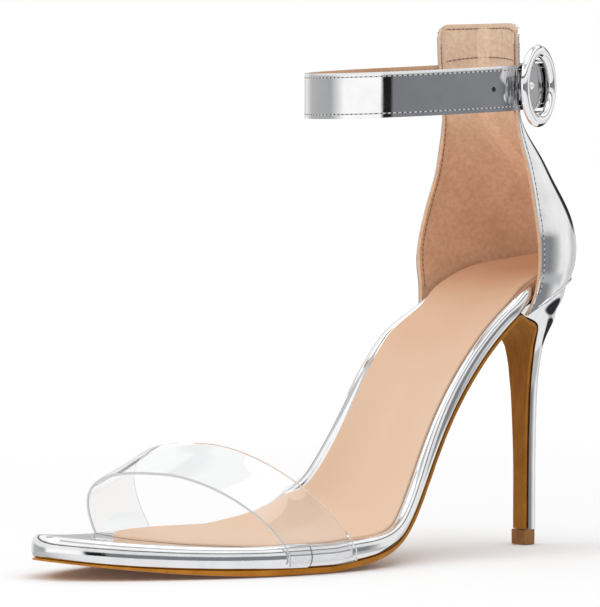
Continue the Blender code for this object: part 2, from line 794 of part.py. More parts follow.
def counter(material):
    """One hollow wall: heel quarter below, tall tab above, open in front."""
    turns = np.linspace(0, np.pi, 27)
    foot = counter_foot(turns)
    crown = TAB_TOP - TAB_CORNER * np.abs(np.cos(turns)) ** 5
    levels = np.concatenate([np.linspace(0, 0.30, 6), np.linspace(0.36, 0.68, 7), np.linspace(0.76, 1.0, 4)])
    rows = []
    for level in levels:
        z = blend(foot, crown, level)
        x, station = counter_point(turns, z)
        rows.append(np.stack([x, -station, z], -1))
    outside = np.stack(rows, 1)
    normal = grid_normals(outside)
    centre = np.array([0, -TAB_FRONT, 0])
    if np.einsum("ijk,ijk->", normal, (outside - centre) * (1, 1, 0)) < 0:
        normal = -normal
    return face_outward(sheet_solid("counter", outside, outside - normal * COUNTER_WALL, material))


# The buckle's own frame: t runs toward the back along the strap, n points outward, w is up

RING_NORMAL = np.array([np.cos(RING_TURN), np.sin(RING_TURN), 0.0])
RING_ALONG = np.array([-np.sin(RING_TURN), np.cos(RING_TURN), 0.0])
UP = np.array([0.0, 0.0, 1.0])
OUTER_LAYER = RING_THICKNESS / 2 + GAP + STRAP_THICKNESS / 2
BAR_DEPTH = OUTER_LAYER + STRAP_THICKNESS / 2 + GAP + BAR_DIAMETER / 2
INNER_LAYER = BAR_DEPTH + BAR_DIAMETER / 2 + GAP + STRAP_THICKNESS / 2


def loop_height(station):
    """Mid-height of the ankle strap, which climbs toward the back."""
    return LOOP_HEIGHT + LOOP_TILT * (LOOP_FRONT - station)


RING_CENTRE = np.array([RING_OUT, -RING_STATION, loop_height(RING_STATION)])


def in_ring(t, n, w):
    """A point in the buckle's frame."""
    t, n, w = np.broadcast_arrays(*(np.asarray(v, float) for v in (t, n, w)))
    return RING_CENTRE + t[..., None] * RING_ALONG + n[..., None] * RING_NORMAL + w[..., None] * UP


def round_tab():
    """The strap's run round the tab's back, a clearance outside the tab at the strap's lower edge."""
    turns = np.radians(STRAP_TURNS)
    level = loop_height(TAB_FRONT) - STRAP_WIDTH / 2 - GAP
    plan = [np.stack(counter_point(t, np.full_like(t, level)), -1) * (1, -1)
            for t in (turns - 0.01, turns, turns + 0.01)]
    along = plan[2] - plan[0]
    along /= np.linalg.norm(along, axis=1)[:, None]
    return plan[1] + np.stack([along[:, 1], -along[:, 0]], -1) * (STRAP_THICKNESS / 2 + STRAP_CLEAR)


def ankle_strap(material, cutter_material):
    """One open band: from behind the buckle's bar round the tab's back, the far side and the front,
    and through the ring to its plain end. The prong's hole is cut where the prong passes."""
    behind = in_ring(np.array(STRAP_BEHIND), -INNER_LAYER, 0.0)
    through = in_ring(np.array([*STRAP_THROUGH, STRAP_END]), -OUTER_LAYER, 0.0)
    tab_back = TAB_FRONT - TAB_DEPTH
    run = [(across * LOOP_HALF_WIDTH, -blend(tab_back, LOOP_FRONT, forward)) for across, forward in LOOP_RUN]
    plan = np.concatenate([behind[:, :2], round_tab(), np.array(run), through[:, :2]])
    chord = np.concatenate([[0], np.cumsum(np.linalg.norm(np.diff(plan, axis=0), axis=1))])
    x_of, y_of = spline(chord, plan[:, 0]), spline(chord, plan[:, 1])
    t = np.linspace(0, chord[-1], 84)
    middle_line = np.stack([x_of(t), y_of(t)], -1)
    along = np.gradient(middle_line, axis=0)
    along /= np.linalg.norm(along, axis=1)[:, None]
    side = np.stack([along[:, 1], -along[:, 0]], -1)
    rows_out, rows_in = [], []
    for share in (-1, 0, 1):
        z = loop_height(-middle_line[:, 1]) + share * STRAP_WIDTH / 2
        outward = middle_line + side * STRAP_THICKNESS / 2
        inward = middle_line - side * STRAP_THICKNESS / 2
        rows_out.append(np.column_stack([outward, z]))
        rows_in.append(np.column_stack([inward, z]))
    item = face_outward(sheet_solid("ankle_strap", np.stack(rows_out, 1), np.stack(rows_in, 1), material))
    hole = rod("prong_hole", in_ring(np.array([BAR_BACK, BAR_BACK]), np.array([-OUTER_LAYER - 1.6 * MM, 1 * MM]), 0.0),
               PRONG_HOLE / 2, 12, cutter_material)
    hole.hide_render = True
    hole.display_type = "WIRE"
    cut = item.modifiers.new("prong hole", "BOOLEAN")
    cut.operation = "DIFFERENCE"
    cut.solver = "EXACT"
    cut.object = hole
    return item


def rod(name, route, radius, sides, material, scales=None):
    """A round rod along a route, with flat ends; scales widen or narrow it from point to point."""
    route = np.asarray(route, float)
    along = np.gradient(route, axis=0)
    along /= np.linalg.norm(along, axis=1)[:, None]
    guide = UP if abs(along[0] @ UP) < 0.9 else RING_NORMAL
    angles = np.arange(sides) * 2 * np.pi / sides
    scales = np.ones(len(route)) if scales is None else np.asarray(scales, float)
    rows = []
    for point, direction, scale in zip(route, along, scales):
        first = np.cross(guide, direction)
        if np.linalg.norm(first) < 0.3:
            first = np.cross(RING_ALONG, direction)
        first /= np.linalg.norm(first)
        second = np.cross(direction, first)
        rows.append(point + radius * scale * (np.cos(angles)[:, None] * first + np.sin(angles)[:, None] * second))
    faces = []
    for i in range(len(rows) - 1):
        for k in range(sides):
            m = (k + 1) % sides
            faces.append((i * sides + k, i * sides + m, (i + 1) * sides + m, (i + 1) * sides + k))
    faces.append(tuple(range(sides))[::-1])
    faces.append(tuple((len(rows) - 1) * sides + k for k in range(sides)))
    return face_outward(build(name, np.concatenate(rows), faces, material))


def buckle_ring(material):
    """A domed flat ring, joined to the bar that stands behind the strap."""
    count = 40
    angles = np.arange(count) * 2 * np.pi / count
    outer, inner = RING_DIAMETER / 2, RING_DIAMETER / 2 - RING_BAND
    mid, half, deep = (outer + inner) / 2, RING_BAND / 2, RING_THICKNESS / 2
    section = [(mid + half * signed_power(np.cos(a), 0.8), deep * signed_power(np.sin(a), 0.8))
               for a in np.arange(10) * 2 * np.pi / 10]
    rows = [in_ring(radius * np.cos(angles), depth, radius * np.sin(angles)) for radius, depth in section]
    grid = np.stack(rows, 1)
    faces = []
    for i in range(count):
        m = (i + 1) % count
        for k in range(len(section)):
            j = (k + 1) % len(section)
            faces.append((i * 10 + k, m * 10 + k, m * 10 + j, i * 10 + j))
    item = face_outward(build("buckle_ring", grid.reshape(-1, 3), faces, material))
    reach = STRAP_WIDTH / 2 + BAR_ROOM + BAR_DIAMETER / 2
    turn = np.linspace(0, np.pi / 2, 5)
    corner = 1.3 * MM
    depth = np.concatenate([[0.0], -(BAR_DEPTH - corner) - corner * np.sin(turn)])
    level = np.concatenate([[reach], reach - corner * (1 - np.cos(turn))])
    depth = np.concatenate([depth, depth[::-1]])
    level = np.concatenate([level, -level[::-1]])
    bar = rod("buckle_bar_guide", in_ring(BAR_BACK, depth, level), BAR_DIAMETER / 2, 8, material)
    bar.hide_render = True
    bar.display_type = "WIRE"
    join = item.modifiers.new("bar", "BOOLEAN")
    join.operation = "UNION"
    join.solver = "EXACT"
    join.object = bar
    return item


def buckle_prong(material):
    """The prong: up from the bar through the strap's hole, then forward onto the ring's front bar."""
    over = RING_THICKNESS / 2 + GAP + PRONG_DIAMETER / 2
    start = -BAR_DEPTH + BAR_DIAMETER / 2 + GAP
    tip = -(RING_DIAMETER / 2 - RING_BAND / 2)
    t = np.array([0.0, 0.0, -0.35, -1.6, -4.0]) * MM + BAR_BACK
    t = np.append(t, (tip + 1.5 * MM, tip - 0.6 * MM))
    n = np.array([start, -0.2 * MM, 0.75 * over, over, over, over, over])
    return rod("buckle_prong", in_ring(t, n, 0.0), PRONG_DIAMETER / 2, 10, material,
               scales=(1, 1, 1, 1, 1, 1, 0.8))


# The clear strap

def vamp_point(turn, share):
    """The clear strap's middle at an angle across the foot and a share from front to rear edge.

    Each edge is a superellipse, rounder outside and squarer inside, which stands on the board's
    roll on both sides and leans toward the toe and the inner side as it climbs."""
    outer_station = blend(VAMP_OUTER_FRONT, VAMP_OUTER_REAR, share)
    inner_station = blend(VAMP_INNER_FRONT, VAMP_INNER_REAR, share)
    stand = VAMP_THICKNESS / 2 + VAMP_GAP
    outer, inner = edge(outer_station, "outer") + stand, edge(inner_station, "inner") - stand
    rise = blend(VAMP_FRONT_RISE, VAMP_REAR_RISE, share)
    lean = blend(VAMP_FRONT_LEAN, VAMP_REAR_LEAN, share)
    power = np.where(np.cos(turn) > 0, VAMP_OUTER_POWER, VAMP_INNER_POWER)
    foot_outer = underside(outer_station) + board_base(outer_station) + board_thickness(outer_station) / 2
    foot_inner = underside(inner_station) + board_base(inner_station) + board_thickness(inner_station) / 2
    climb = rise * np.abs(np.sin(turn)) ** (2 / power)
    across = signed_power(np.cos(turn), 2 / power)
    part = (across + 1) / 2
    x = blend(inner, outer, part) + VAMP_SIDE_LEAN * climb
    station = blend(inner_station, outer_station, part) + lean * climb
    return np.stack([x, -station, blend(foot_inner, foot_outer, part) + climb], -1)


def vamp_strap(material):
    """The clear band over the toes, with straight ends that drop beside the board onto the outsole."""
    turns = np.linspace(0, np.pi, 33)
    shares = np.linspace(0, 1, 6)
    arched = np.stack([vamp_point(turns, np.full_like(turns, share)) for share in shares], 1)
    ends = []
    for row, first, last, side in ((0, VAMP_OUTER_FRONT, VAMP_OUTER_REAR, "outer"),
                                   (-1, VAMP_INNER_FRONT, VAMP_INNER_REAR, "inner")):
        stations = blend(first, last, shares)
        foot = arched[row].copy()
        foot[:, 2] = underside(stations) + outsole_thickness(stations) + GAP
        ends.append(foot)
    grid = np.concatenate([ends[0][None], arched, ends[1][None]])
    normal = grid_normals(grid)
    if normal[len(grid) // 2, 2, 2] < 0:
        normal = -normal
    for row in (0, -1):
        normal[row, :, 2] = 0
        normal[row] /= np.linalg.norm(normal[row], axis=1)[:, None]
    return face_outward(sheet_solid("vamp_strap", grid + normal * VAMP_THICKNESS / 2,
                                    grid - normal * VAMP_THICKNESS / 2, material))


def stand_at_origin():
    """Moves every mesh so that the origin lies under the middle of the whole sandal's box."""
    corners = []
    for item in bpy.data.objects:
        if not item.hide_render:
            corners.extend((v.co.x, v.co.y) for v in item.data.vertices)
    corners = np.array(corners)
    centre = (corners.min(0) + corners.max(0)) / 2
    move = Matrix.Translation((-centre[0], -centre[1], 0))
    for item in bpy.data.objects:
        item.data.transform(move)
        item.data.update()


def main():
    clear_scene()
    silver = finish("mirror_leather", (0.80, 0.80, 0.81), 1.0, 0.08)
    brown = finish("brown_sole_leather", (0.30, 0.13, 0.05), 0.0, 0.45)
    tan = finish("tan_sock", (0.74, 0.50, 0.35), 0.0, 0.55)
    chrome = finish("chrome", (0.86, 0.86, 0.87), 1.0, 0.05)
    clear = finish("clear_strap", (0.93, 0.95, 0.96), 0.0, 0.05, Transmission_Weight=0.9, IOR=1.5)
    outsole(brown)
    board(silver)
    sock(tan)
    heel(silver)
    top_lift(brown)
    counter(silver)
    ankle_strap(silver, brown)
    buckle_ring(chrome)
    buckle_prong(chrome)
    vamp_strap(clear)
    stand_at_origin()


main()
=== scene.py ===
"""The dressed high-heeled sandal: mirror leather, a tan sock, a soft lining, a clear toe strap and a
round buckle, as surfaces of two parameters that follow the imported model's own named sizes."""

import bpy
import numpy as np
from mathutils import Matrix, Vector


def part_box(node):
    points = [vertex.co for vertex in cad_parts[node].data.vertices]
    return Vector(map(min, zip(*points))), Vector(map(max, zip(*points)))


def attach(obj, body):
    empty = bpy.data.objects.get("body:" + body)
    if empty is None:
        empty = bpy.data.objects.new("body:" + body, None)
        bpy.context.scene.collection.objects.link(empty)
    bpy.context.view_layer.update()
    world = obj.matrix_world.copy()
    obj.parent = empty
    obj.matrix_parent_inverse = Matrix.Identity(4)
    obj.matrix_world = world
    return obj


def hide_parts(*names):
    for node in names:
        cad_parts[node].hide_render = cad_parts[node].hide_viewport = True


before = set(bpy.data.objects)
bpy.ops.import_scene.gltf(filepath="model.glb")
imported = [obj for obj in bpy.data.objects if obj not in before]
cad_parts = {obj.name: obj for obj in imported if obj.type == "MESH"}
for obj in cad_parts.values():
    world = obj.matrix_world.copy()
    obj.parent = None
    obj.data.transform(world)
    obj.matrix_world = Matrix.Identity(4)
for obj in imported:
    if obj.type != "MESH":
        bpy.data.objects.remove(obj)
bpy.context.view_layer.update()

MM = 0.001

# Clearance between neighbouring pieces
GAP = 0.3 * MM

# Lengths and heights of the sole
LENGTH = 239.5 * MM
HEEL_HEIGHT = 99.9 * MM
TOE_SPRING = 6.6 * MM
SPRING_POWER = 1.7
BALL_FROM = 145.0 * MM
BALL_TO = 168.0 * MM

# Full widths of the sole
SEAT_WIDTH = 52.8 * MM
WAIST_WIDTH = 42.4 * MM
BALL_WIDTH = 79.0 * MM
TOE_WIDTH = 50.0 * MM
SEAT_SHIFT = -0.8 * MM
TOE_ROUND = 27.0 * MM

# How far the seat's round end reaches forward, outer and inner side
OUTER_SEAT = 32.0 * MM
INNER_SEAT = 45.0 * MM
SEAT_ROUNDNESS = 2.15

# Thicknesses of the layers
OUTSOLE_FORE = 3.0 * MM
OUTSOLE_SHANK = 1.4 * MM
BOARD_FORE = 6.9 * MM
BOARD_SHANK = 5.6 * MM
BOARD_TOE = 5.6 * MM
FORE_FROM = 0.42
FORE_OVER = 0.16
TOE_FROM = 0.7
SOCK_THICKNESS = 0.9 * MM
SOCK_RECESS = 0.8 * MM
SOCK_EASE = 0.3 * MM
SOCK_GAP = 0.5 * MM
SOLE_GAP = 0.6 * MM
ARCH_RISE = 13.2 * MM
ARCH_AT = 84.0 * MM
ARCH_SPREAD = 32.0 * MM
SEAT_CUP = 5.0 * MM
FORE_CUP = 1.8 * MM
FORE_CUP_AT = 164.0 * MM
FORE_CUP_SPREAD = 36.0 * MM
OUTSOLE_INSET = 0.9 * MM
SOCK_INSET = 3.6 * MM
SOCK_SEAT = 1.0 * MM
SOCK_TIP = 199.0 * MM
SOCK_TIP_SHIFT = -12.5 * MM
SOCK_ROUND = 34.0 * MM
SOCK_SEAT_ROUND = 24.0 * MM
SOCK_SEAT_FADE = 10.0 * MM
BED_BEFORE_TIP = 10.0 * MM
BED_FADE = 12.0 * MM
ROOM_BEFORE_FRONT = 4.0 * MM
ROOM_FADE = 14.0 * MM

# The heel, its tip and its breast
TIP_WIDTH = 7.4 * MM
TIP_LENGTH = 7.6 * MM
TIP_SET = 10.2 * MM
HEEL_BREAST = 36.7 * MM
LIFT_HEIGHT = 5.6 * MM
FLAP_TURN = 0.862
KNEE_SET = 0.6 * MM
FLAP_GAP = 0.5 * MM
KNEE_BEFORE = 4.0 * MM

# The counter and its tall tab
COUNTER_WALL = 2.0 * MM
COUNTER_BULGE = 2.7 * MM
COUNTER_SWELL = 1.5 * MM
COUNTER_OUTER_FRONT = 31.4 * MM
COUNTER_INNER_FRONT = 45.0 * MM
TAB_TOP = 197.2 * MM
TAB_WIDTH = 41.8 * MM
TAB_FRONT = 41.6 * MM
TAB_DEPTH = 7.0 * MM

# The ankle strap
STRAP_WIDTH = 16.6 * MM
STRAP_THICKNESS = 1.8 * MM
LOOP_HALF_WIDTH = 34.0 * MM
LOOP_FRONT = 114.6 * MM
LOOP_HEIGHT = 169.3 * MM
LOOP_TILT = 0.056
STRAP_CLEAR = 0.5 * MM
STRAP_TURNS = (62, 78, 94, 110, 126, 142, 156, 168)
STRAP_BEHIND = (-2.0 * MM, 4.0 * MM, 10.0 * MM)
STRAP_THROUGH = (-13.5 * MM, -7.0 * MM, 0.0, 7.0 * MM)

# The round buckle
RING_DIAMETER = 30.0 * MM
RING_BAND = 4.8 * MM
RING_THICKNESS = 2.2 * MM
RING_OUT = 33.0 * MM
RING_STATION = 39.8 * MM
RING_TURN = np.radians(24.0)
BAR_DIAMETER = 1.8 * MM
BAR_BACK = 6.0 * MM
BAR_ROOM = 0.75 * MM
PRONG_DIAMETER = 1.7 * MM
STRAP_END = 13.0 * MM

# The clear strap over the toes
VAMP_THICKNESS = 1.5 * MM
VAMP_GAP = 0.5 * MM
VAMP_OUTER_FRONT = 164.8 * MM
VAMP_OUTER_REAR = 135.2 * MM
VAMP_INNER_FRONT = 189.0 * MM
VAMP_INNER_REAR = 161.3 * MM
VAMP_FRONT_RISE = 27.0 * MM
VAMP_REAR_RISE = 36.8 * MM
VAMP_FRONT_LEAN = 0.40
VAMP_REAR_LEAN = 0.49
VAMP_SIDE_LEAN = -0.165
VAMP_OUTER_POWER = 1.85
VAMP_INNER_POWER = 3.0

# Sole widths: station as a share of the length, which full width, outer share, inner share
WIDTHS = {"seat": SEAT_WIDTH, "waist": WAIST_WIDTH, "ball": BALL_WIDTH, "toe": TOE_WIDTH}
SOLE_WIDTHS = (
    (0.000, "seat", 0.500, 0.500),
    (0.100, "seat", 0.500, 0.500),
    (0.167, "seat", 0.494, 0.474),
    (0.230, "waist", 0.538, 0.586),
    (0.294, "waist", 0.491, 0.528),
    (0.357, "waist", 0.575, 0.515),
    (0.412, "ball", 0.382, 0.296),
    (0.455, "ball", 0.442, 0.340),
    (0.493, "ball", 0.485, 0.384),
    (0.531, "ball", 0.508, 0.427),
    (0.573, "ball", 0.516, 0.457),
    (0.624, "ball", 0.515, 0.480),
    (0.675, "ball", 0.500, 0.495),
    (0.739, "ball", 0.457, 0.490),
    (0.802, "toe", 0.615, 0.725),
    (0.866, "toe", 0.465, 0.640),
    (0.924, "toe", 0.330, 0.560),
    (1.000, "toe", 0.220, 0.520),
)

# Underside of the sole: station as a share of the length, height as a share of the heel height
SOLE_HEIGHTS = (
    (0.000, 1.000),
    (0.048, 0.986),
    (0.107, 0.951),
    (0.167, 0.866),
    (0.230, 0.708),
    (0.294, 0.476),
    (0.357, 0.241),
    (0.412, 0.109),
    (0.455, 0.059),
    (0.493, 0.034),
    (0.531, 0.018),
    (0.573, 0.006),
)

# The heel: height share, then how far its width, back and breast have opened from tip to seat
HEEL_SECTIONS = (
    (0.00, 0.000, 0.000, 0.000),
    (0.17, 0.000, 0.000, 0.000),
    (0.32, 0.004, 0.000, 0.000),
    (0.44, 0.022, 0.004, 0.006),
    (0.55, 0.048, 0.020, 0.012),
    (0.63, 0.079, 0.060, 0.018),
    (0.70, 0.128, 0.125, 0.022),
    (0.76, 0.195, 0.215, 0.040),
    (0.80, 0.300, 0.320, 0.095),
    (0.83, 0.430, 0.410, 0.200),
    (0.86, 0.600, 0.500, 0.480),
    (0.89, 0.760, 0.590, 0.960),
    (0.92, 0.880, 0.690, 1.000),
    (0.96, 0.950, 0.830, 1.000),
    (1.01, 0.990, 0.940, 1.000),
)

# The counter: height share from seat to tab top, then how far its width, outer front edge,
# inner front edge and back have moved from seat to tab
COUNTER_SECTIONS = (
    (-0.12, 0.20, 0.60, 0.00, 0.200),
    (-0.06, 0.19, 0.20, 0.06, 0.150),
    (0.00, 0.15, 0.03, 0.05, 0.091),
    (0.04, 0.08, 0.00, 0.02, 0.043),
    (0.11, 0.01, 0.01, 0.08, 0.000),
    (0.16, 0.00, 0.04, 0.30, 0.003),
    (0.24, 0.09, 0.13, 0.74, 0.058),
    (0.31, 0.19, 0.21, 1.20, 0.170),
    (0.40, 0.41, 0.28, 1.74, 0.362),
    (0.49, 0.62, 0.43, 2.00, 0.550),
    (0.58, 0.81, 0.67, 2.08, 0.800),
    (0.65, 0.93, 0.83, 2.02, 0.960),
    (0.73, 0.97, 0.93, 1.76, 1.000),
    (0.83, 0.99, 1.00, 1.28, 1.000),
    (1.00, 1.00, 1.00, 1.05, 0.990),
)

# The ankle strap's run from the tab's inner edge round the front: across share of the loop's
# half width, forward share from the tab's back to the loop's front
LOOP_RUN = (
    (-0.83, 0.235),
    (-0.935, 0.355),
    (-0.97, 0.460),
    (-0.94, 0.605),
    (-0.81, 0.765),
    (-0.53, 0.920),
    (-0.18, 0.995),
    (0.18, 0.995),
    (0.53, 0.945),
    (0.81, 0.820),
    (0.98, 0.660),
    (1.075, 0.490),
    (1.110, 0.345),
)


def spline(xs, ys, first=None, last=None):
    """A cubic through the table's points: its second derivatives come from one linear system,
    with the end slopes given or left free of bending."""
    xs, ys = np.asarray(xs, float), np.asarray(ys, float)
    n = len(xs)
    step, rise = np.diff(xs), np.diff(ys) / np.diff(xs)
    matrix, right = np.zeros((n, n)), np.zeros(n)
    for i in range(1, n - 1):
        matrix[i, i - 1:i + 2] = step[i - 1], 2 * (step[i - 1] + step[i]), step[i]
        right[i] = 6 * (rise[i] - rise[i - 1])
    matrix[0, 0] = matrix[-1, -1] = 1
    if first is not None:
        matrix[0, :2] = 2 * step[0], step[0]
        right[0] = 6 * (rise[0] - first)
    if last is not None:
        matrix[-1, -2:] = step[-1], 2 * step[-1]
        right[-1] = 6 * (last - rise[-1])
    bend = np.linalg.solve(matrix, right)

    def value(q):
        q = np.asarray(q, float)
        k = np.clip(np.searchsorted(xs, q) - 1, 0, n - 2)
        a, b = xs[k + 1] - q, q - xs[k]
        h = step[k]
        return ((bend[k] * a ** 3 + bend[k + 1] * b ** 3) / (6 * h)
                + (ys[k] / h - bend[k] * h / 6) * a + (ys[k + 1] / h - bend[k + 1] * h / 6) * b)

    return value


def column(table, index):
    """One column of a table as an array."""
    return np.array([row[index] for row in table], float)


def blend(a, b, t):
    return a + (b - a) * t


def ease(t):
    """A soft step from 0 to 1."""
    t = np.clip(t, 0, 1)
    return t * t * (3 - 2 * t)


def signed_power(value, exponent):
    return np.sign(value) * np.abs(value) ** exponent


def unit(vectors):
    """Vectors along the last axis at length one."""
    return vectors / np.linalg.norm(vectors, axis=-1)[..., None]


def heading(points):
    """Unit directions along a row of points."""
    return unit(np.gradient(points, axis=0))


def square_to(along):
    """In plan, the unit vectors square to others."""
    return np.stack([along[:, 1], -along[:, 0]], -1)


def lengths_along(points):
    """Length along a polyline at each of its points."""
    return np.concatenate([[0], np.cumsum(np.linalg.norm(np.diff(points, axis=0), axis=1))])


def points_at(at, lengths, points):
    """A polyline's points at given lengths along it."""
    return np.stack([np.interp(at, lengths, points[:, k]) for k in range(points.shape[1])], -1)


def round_angles(count):
    return np.arange(count) * 2 * np.pi / count


# The sole's curve

HEIGHT_STATIONS = np.append(column(SOLE_HEIGHTS, 0) * LENGTH, BALL_FROM)
HEIGHT_VALUES = np.append(column(SOLE_HEIGHTS, 1) * HEEL_HEIGHT, 0.0)
rear_height = spline(HEIGHT_STATIONS, HEIGHT_VALUES, last=0.0)


def underside(station):
    """Height of the sole's underside: the table's curve down to the ball, flat under the ball,
    then the toe spring."""
    station = np.asarray(station, float)
    toe = np.clip((station - BALL_TO) / (LENGTH - BALL_TO), 0, None)
    return np.where(station < BALL_FROM, rear_height(np.clip(station, -0.01, BALL_FROM)),
                    TOE_SPRING * toe ** SPRING_POWER)


DENSE = np.linspace(-0.01, LENGTH + 0.01, 1200)
DENSE_HEIGHT = underside(DENSE)
DENSE_RUN = np.concatenate([[0], np.cumsum(np.hypot(np.diff(DENSE), np.diff(DENSE_HEIGHT)))])
DENSE_SLOPE = np.gradient(DENSE_HEIGHT, DENSE)


def run_at(station):
    """Length along the sole's curve at a station."""
    return np.interp(station, DENSE, DENSE_RUN)


def station_at(run):
    return np.interp(run, DENSE_RUN, DENSE)


def slant(station):
    """How much longer the sloping sole is than its plan."""
    return np.hypot(1, np.interp(station, DENSE, DENSE_SLOPE))


def arch(x, station):
    """Rise of the inner side at the waist: square across the sole, a bell along it."""
    inner = np.clip(-x / (WAIST_WIDTH / 2), 0, 1.15)
    return ARCH_RISE * inner ** 2 * np.exp(-((station - ARCH_AT) / ARCH_SPREAD) ** 2)


def place(x, run, height):
    """The point at x across, run along the sole's curve and height square to it."""
    station = station_at(run)
    slope = np.interp(station, DENSE, DENSE_SLOPE)
    size = np.hypot(1, slope)
    height = height + arch(x, station)
    y = -(station - slope / size * height)
    z = underside(station) + height / size
    return np.stack([x + 0 * y, y, z], -1)


def cup(x, station):
    """Rise of the footbed's rim: round the seat, where the counter holds it, and inside the ball."""
    across = np.abs(x - SEAT_SHIFT) / (SEAT_WIDTH / 2)
    back = np.clip(1 - station / OUTER_SEAT, 0, 1)
    near = np.clip(np.hypot(across, back), 0, 1)
    outer_fade = np.where(x > 0, OUTER_SEAT, INNER_SEAT)
    inner = np.clip(-x / (BALL_WIDTH / 2), 0, 1)
    ball = FORE_CUP * inner ** 2 * np.exp(-((station - FORE_CUP_AT) / FORE_CUP_SPREAD) ** 2)
    return SEAT_CUP * near ** 3 * (1 - ease(station / outer_fade)) + ball


def fore_share(station):
    """A soft step from the shank to the forefoot."""
    return ease((station - FORE_FROM * LENGTH) / (FORE_OVER * LENGTH))


def outsole_thickness(station):
    return blend(OUTSOLE_SHANK, OUTSOLE_FORE, fore_share(station))


def board_thickness(station):
    fore = blend(BOARD_FORE, BOARD_TOE, ease((station - TOE_FROM * LENGTH) / ((1 - TOE_FROM) * LENGTH)))
    return blend(BOARD_SHANK, fore, fore_share(station))


def board_base(station):
    return outsole_thickness(station) + SOLE_GAP


def board_top(station):
    return board_base(station) + board_thickness(station)


def footbed(station, x):
    """The board's top with its cupped rim."""
    return board_top(station) + cup(x, station)


# The sole's outline

WIDTH_STATIONS = column(SOLE_WIDTHS, 0) * LENGTH
FULL_WIDTHS = np.array([WIDTHS[row[1]] for row in SOLE_WIDTHS])
SIDES = {
    "outer": (spline(WIDTH_STATIONS, column(SOLE_WIDTHS, 2) * FULL_WIDTHS), OUTER_SEAT, 1),
    "inner": (spline(WIDTH_STATIONS, column(SOLE_WIDTHS, 3) * FULL_WIDTHS), INNER_SEAT, -1),
}


def seat_round(station, reach):
    """Half a superellipse over the seat, 0 at its back edge and 1 from its reach on."""
    t = np.clip((reach - station) / reach, 0, 1)
    return (1 - t ** SEAT_ROUNDNESS) ** (1 / SEAT_ROUNDNESS)


def toe_round(station):
    t = np.clip((station - (LENGTH - TOE_ROUND)) / TOE_ROUND, 0, 1)
    return np.sqrt(1 - t ** 2)


def middle(station):
    """The line between both sides where the outline closes: the seat's shift, then the toe's."""
    toe = (SIDES["outer"][0](LENGTH) - SIDES["inner"][0](LENGTH)) / 2
    return blend(SEAT_SHIFT, toe, ease(station / LENGTH))


def edge(station, side):
    """The outline's signed x on one side at a station."""
    half, reach, sign = SIDES[side]
    rounding = seat_round(station, reach) * toe_round(station)
    shift = SEAT_SHIFT * (1 - ease((station - 0.16 * LENGTH) / (0.1 * LENGTH)))
    full = sign * half(station) + shift
    centre = middle(station)
    return centre + (full - centre) * rounding


def stations_between(first, last, count):
    """Stations that crowd toward both ends, where the outline turns."""
    t = np.linspace(0, 1, count)
    return first + (last - first) * (0.35 * t + 0.65 * (1 - np.cos(np.pi * t)) / 2)


def ring_of(outer, inner, stations):
    """A closed ring of (x, run): out along the outer side, back along the inner one."""
    x = np.concatenate([outer, inner[-2:0:-1]])
    run = run_at(np.concatenate([stations, stations[-2:0:-1]]))
    return np.stack([x, run], -1)


def inset(ring, distance):
    """The ring moved inward, square to itself, by a distance that may differ from point to point."""
    forward = unit(np.roll(ring, -1, 0) - np.roll(ring, 1, 0))
    return ring - square_to(forward) * np.broadcast_to(distance, len(ring))[:, None]


# The heel, the outsole's path, the counter, the buckle's frame, and the straps

def counter_room(station, side):
    """How far the board stays back for the counter's wall, easing out past its front edge."""
    front = COUNTER_OUTER_FRONT if side == "outer" else COUNTER_INNER_FRONT
    return (COUNTER_WALL + 3 * GAP) * (1 - ease((station - front + ROOM_BEFORE_FRONT) / ROOM_FADE))


def ring_values(function, stations):
    """A function of station and side spread round the ring."""
    outer, inner = function(stations, "outer"), function(stations, "inner")
    return np.concatenate([outer, inner[-2:0:-1]])


def recess(station):
    """Depth of the bed for the sock, which runs out just past the sock's tip."""
    return SOCK_RECESS * (1 - ease((station - SOCK_TIP + BED_BEFORE_TIP) / BED_FADE))


def sock_edge(station, side):
    """The sock's outline: inside the board's roll and drawn in to its own pointed tip."""
    sign = 1 if side == "outer" else -1
    half = np.abs(edge(station, side) - middle(station))
    room = counter_room(station, side)
    t = np.clip((station - (SOCK_TIP - SOCK_ROUND)) / SOCK_ROUND, 0, 1)
    centre = blend(middle(station), SOCK_TIP_SHIFT, ease(t))
    seat = OUTER_SEAT if side == "outer" else INNER_SEAT
    held = 1 - ease((station - seat + SOCK_SEAT_FADE) / SOCK_SEAT_FADE)
    reach = np.clip(half - blend(SOCK_INSET, SOCK_SEAT, held) - room, 0, None)
    return centre + sign * reach * (1 - t ** 2.2) ** 0.6


FLAP = OUTSOLE_SHANK + FLAP_GAP
HEEL_LEVELS = column(HEEL_SECTIONS, 0) * HEEL_HEIGHT
heel_open_width = spline(HEEL_LEVELS, column(HEEL_SECTIONS, 1))
heel_open_back = spline(HEEL_LEVELS, column(HEEL_SECTIONS, 2))
heel_open_breast = spline(HEEL_LEVELS, column(HEEL_SECTIONS, 3))


def breast_station(z):
    """The heel's own breast, which lies behind the outsole's flap."""
    return blend(TIP_SET + TIP_LENGTH - FLAP, HEEL_BREAST, heel_open_breast(z))


def heel_half(z):
    return blend(TIP_WIDTH / 2, SEAT_WIDTH / 2, heel_open_width(z))


def heel_point(turn, z, forward=0.0):
    """The heel's wall at an angle round its back and a height: half a superellipse that runs from
    the outer breast corner round the back to the inner one."""
    back = blend(TIP_SET, 0.0, heel_open_back(z))
    breast = breast_station(z) + forward
    shift = SEAT_SHIFT * heel_open_width(z)
    x = shift + heel_half(z) * signed_power(np.cos(turn), 2 / SEAT_ROUNDNESS)
    station = breast - (breast - back) * np.abs(np.sin(turn)) ** (2 / SEAT_ROUNDNESS)
    return x, station


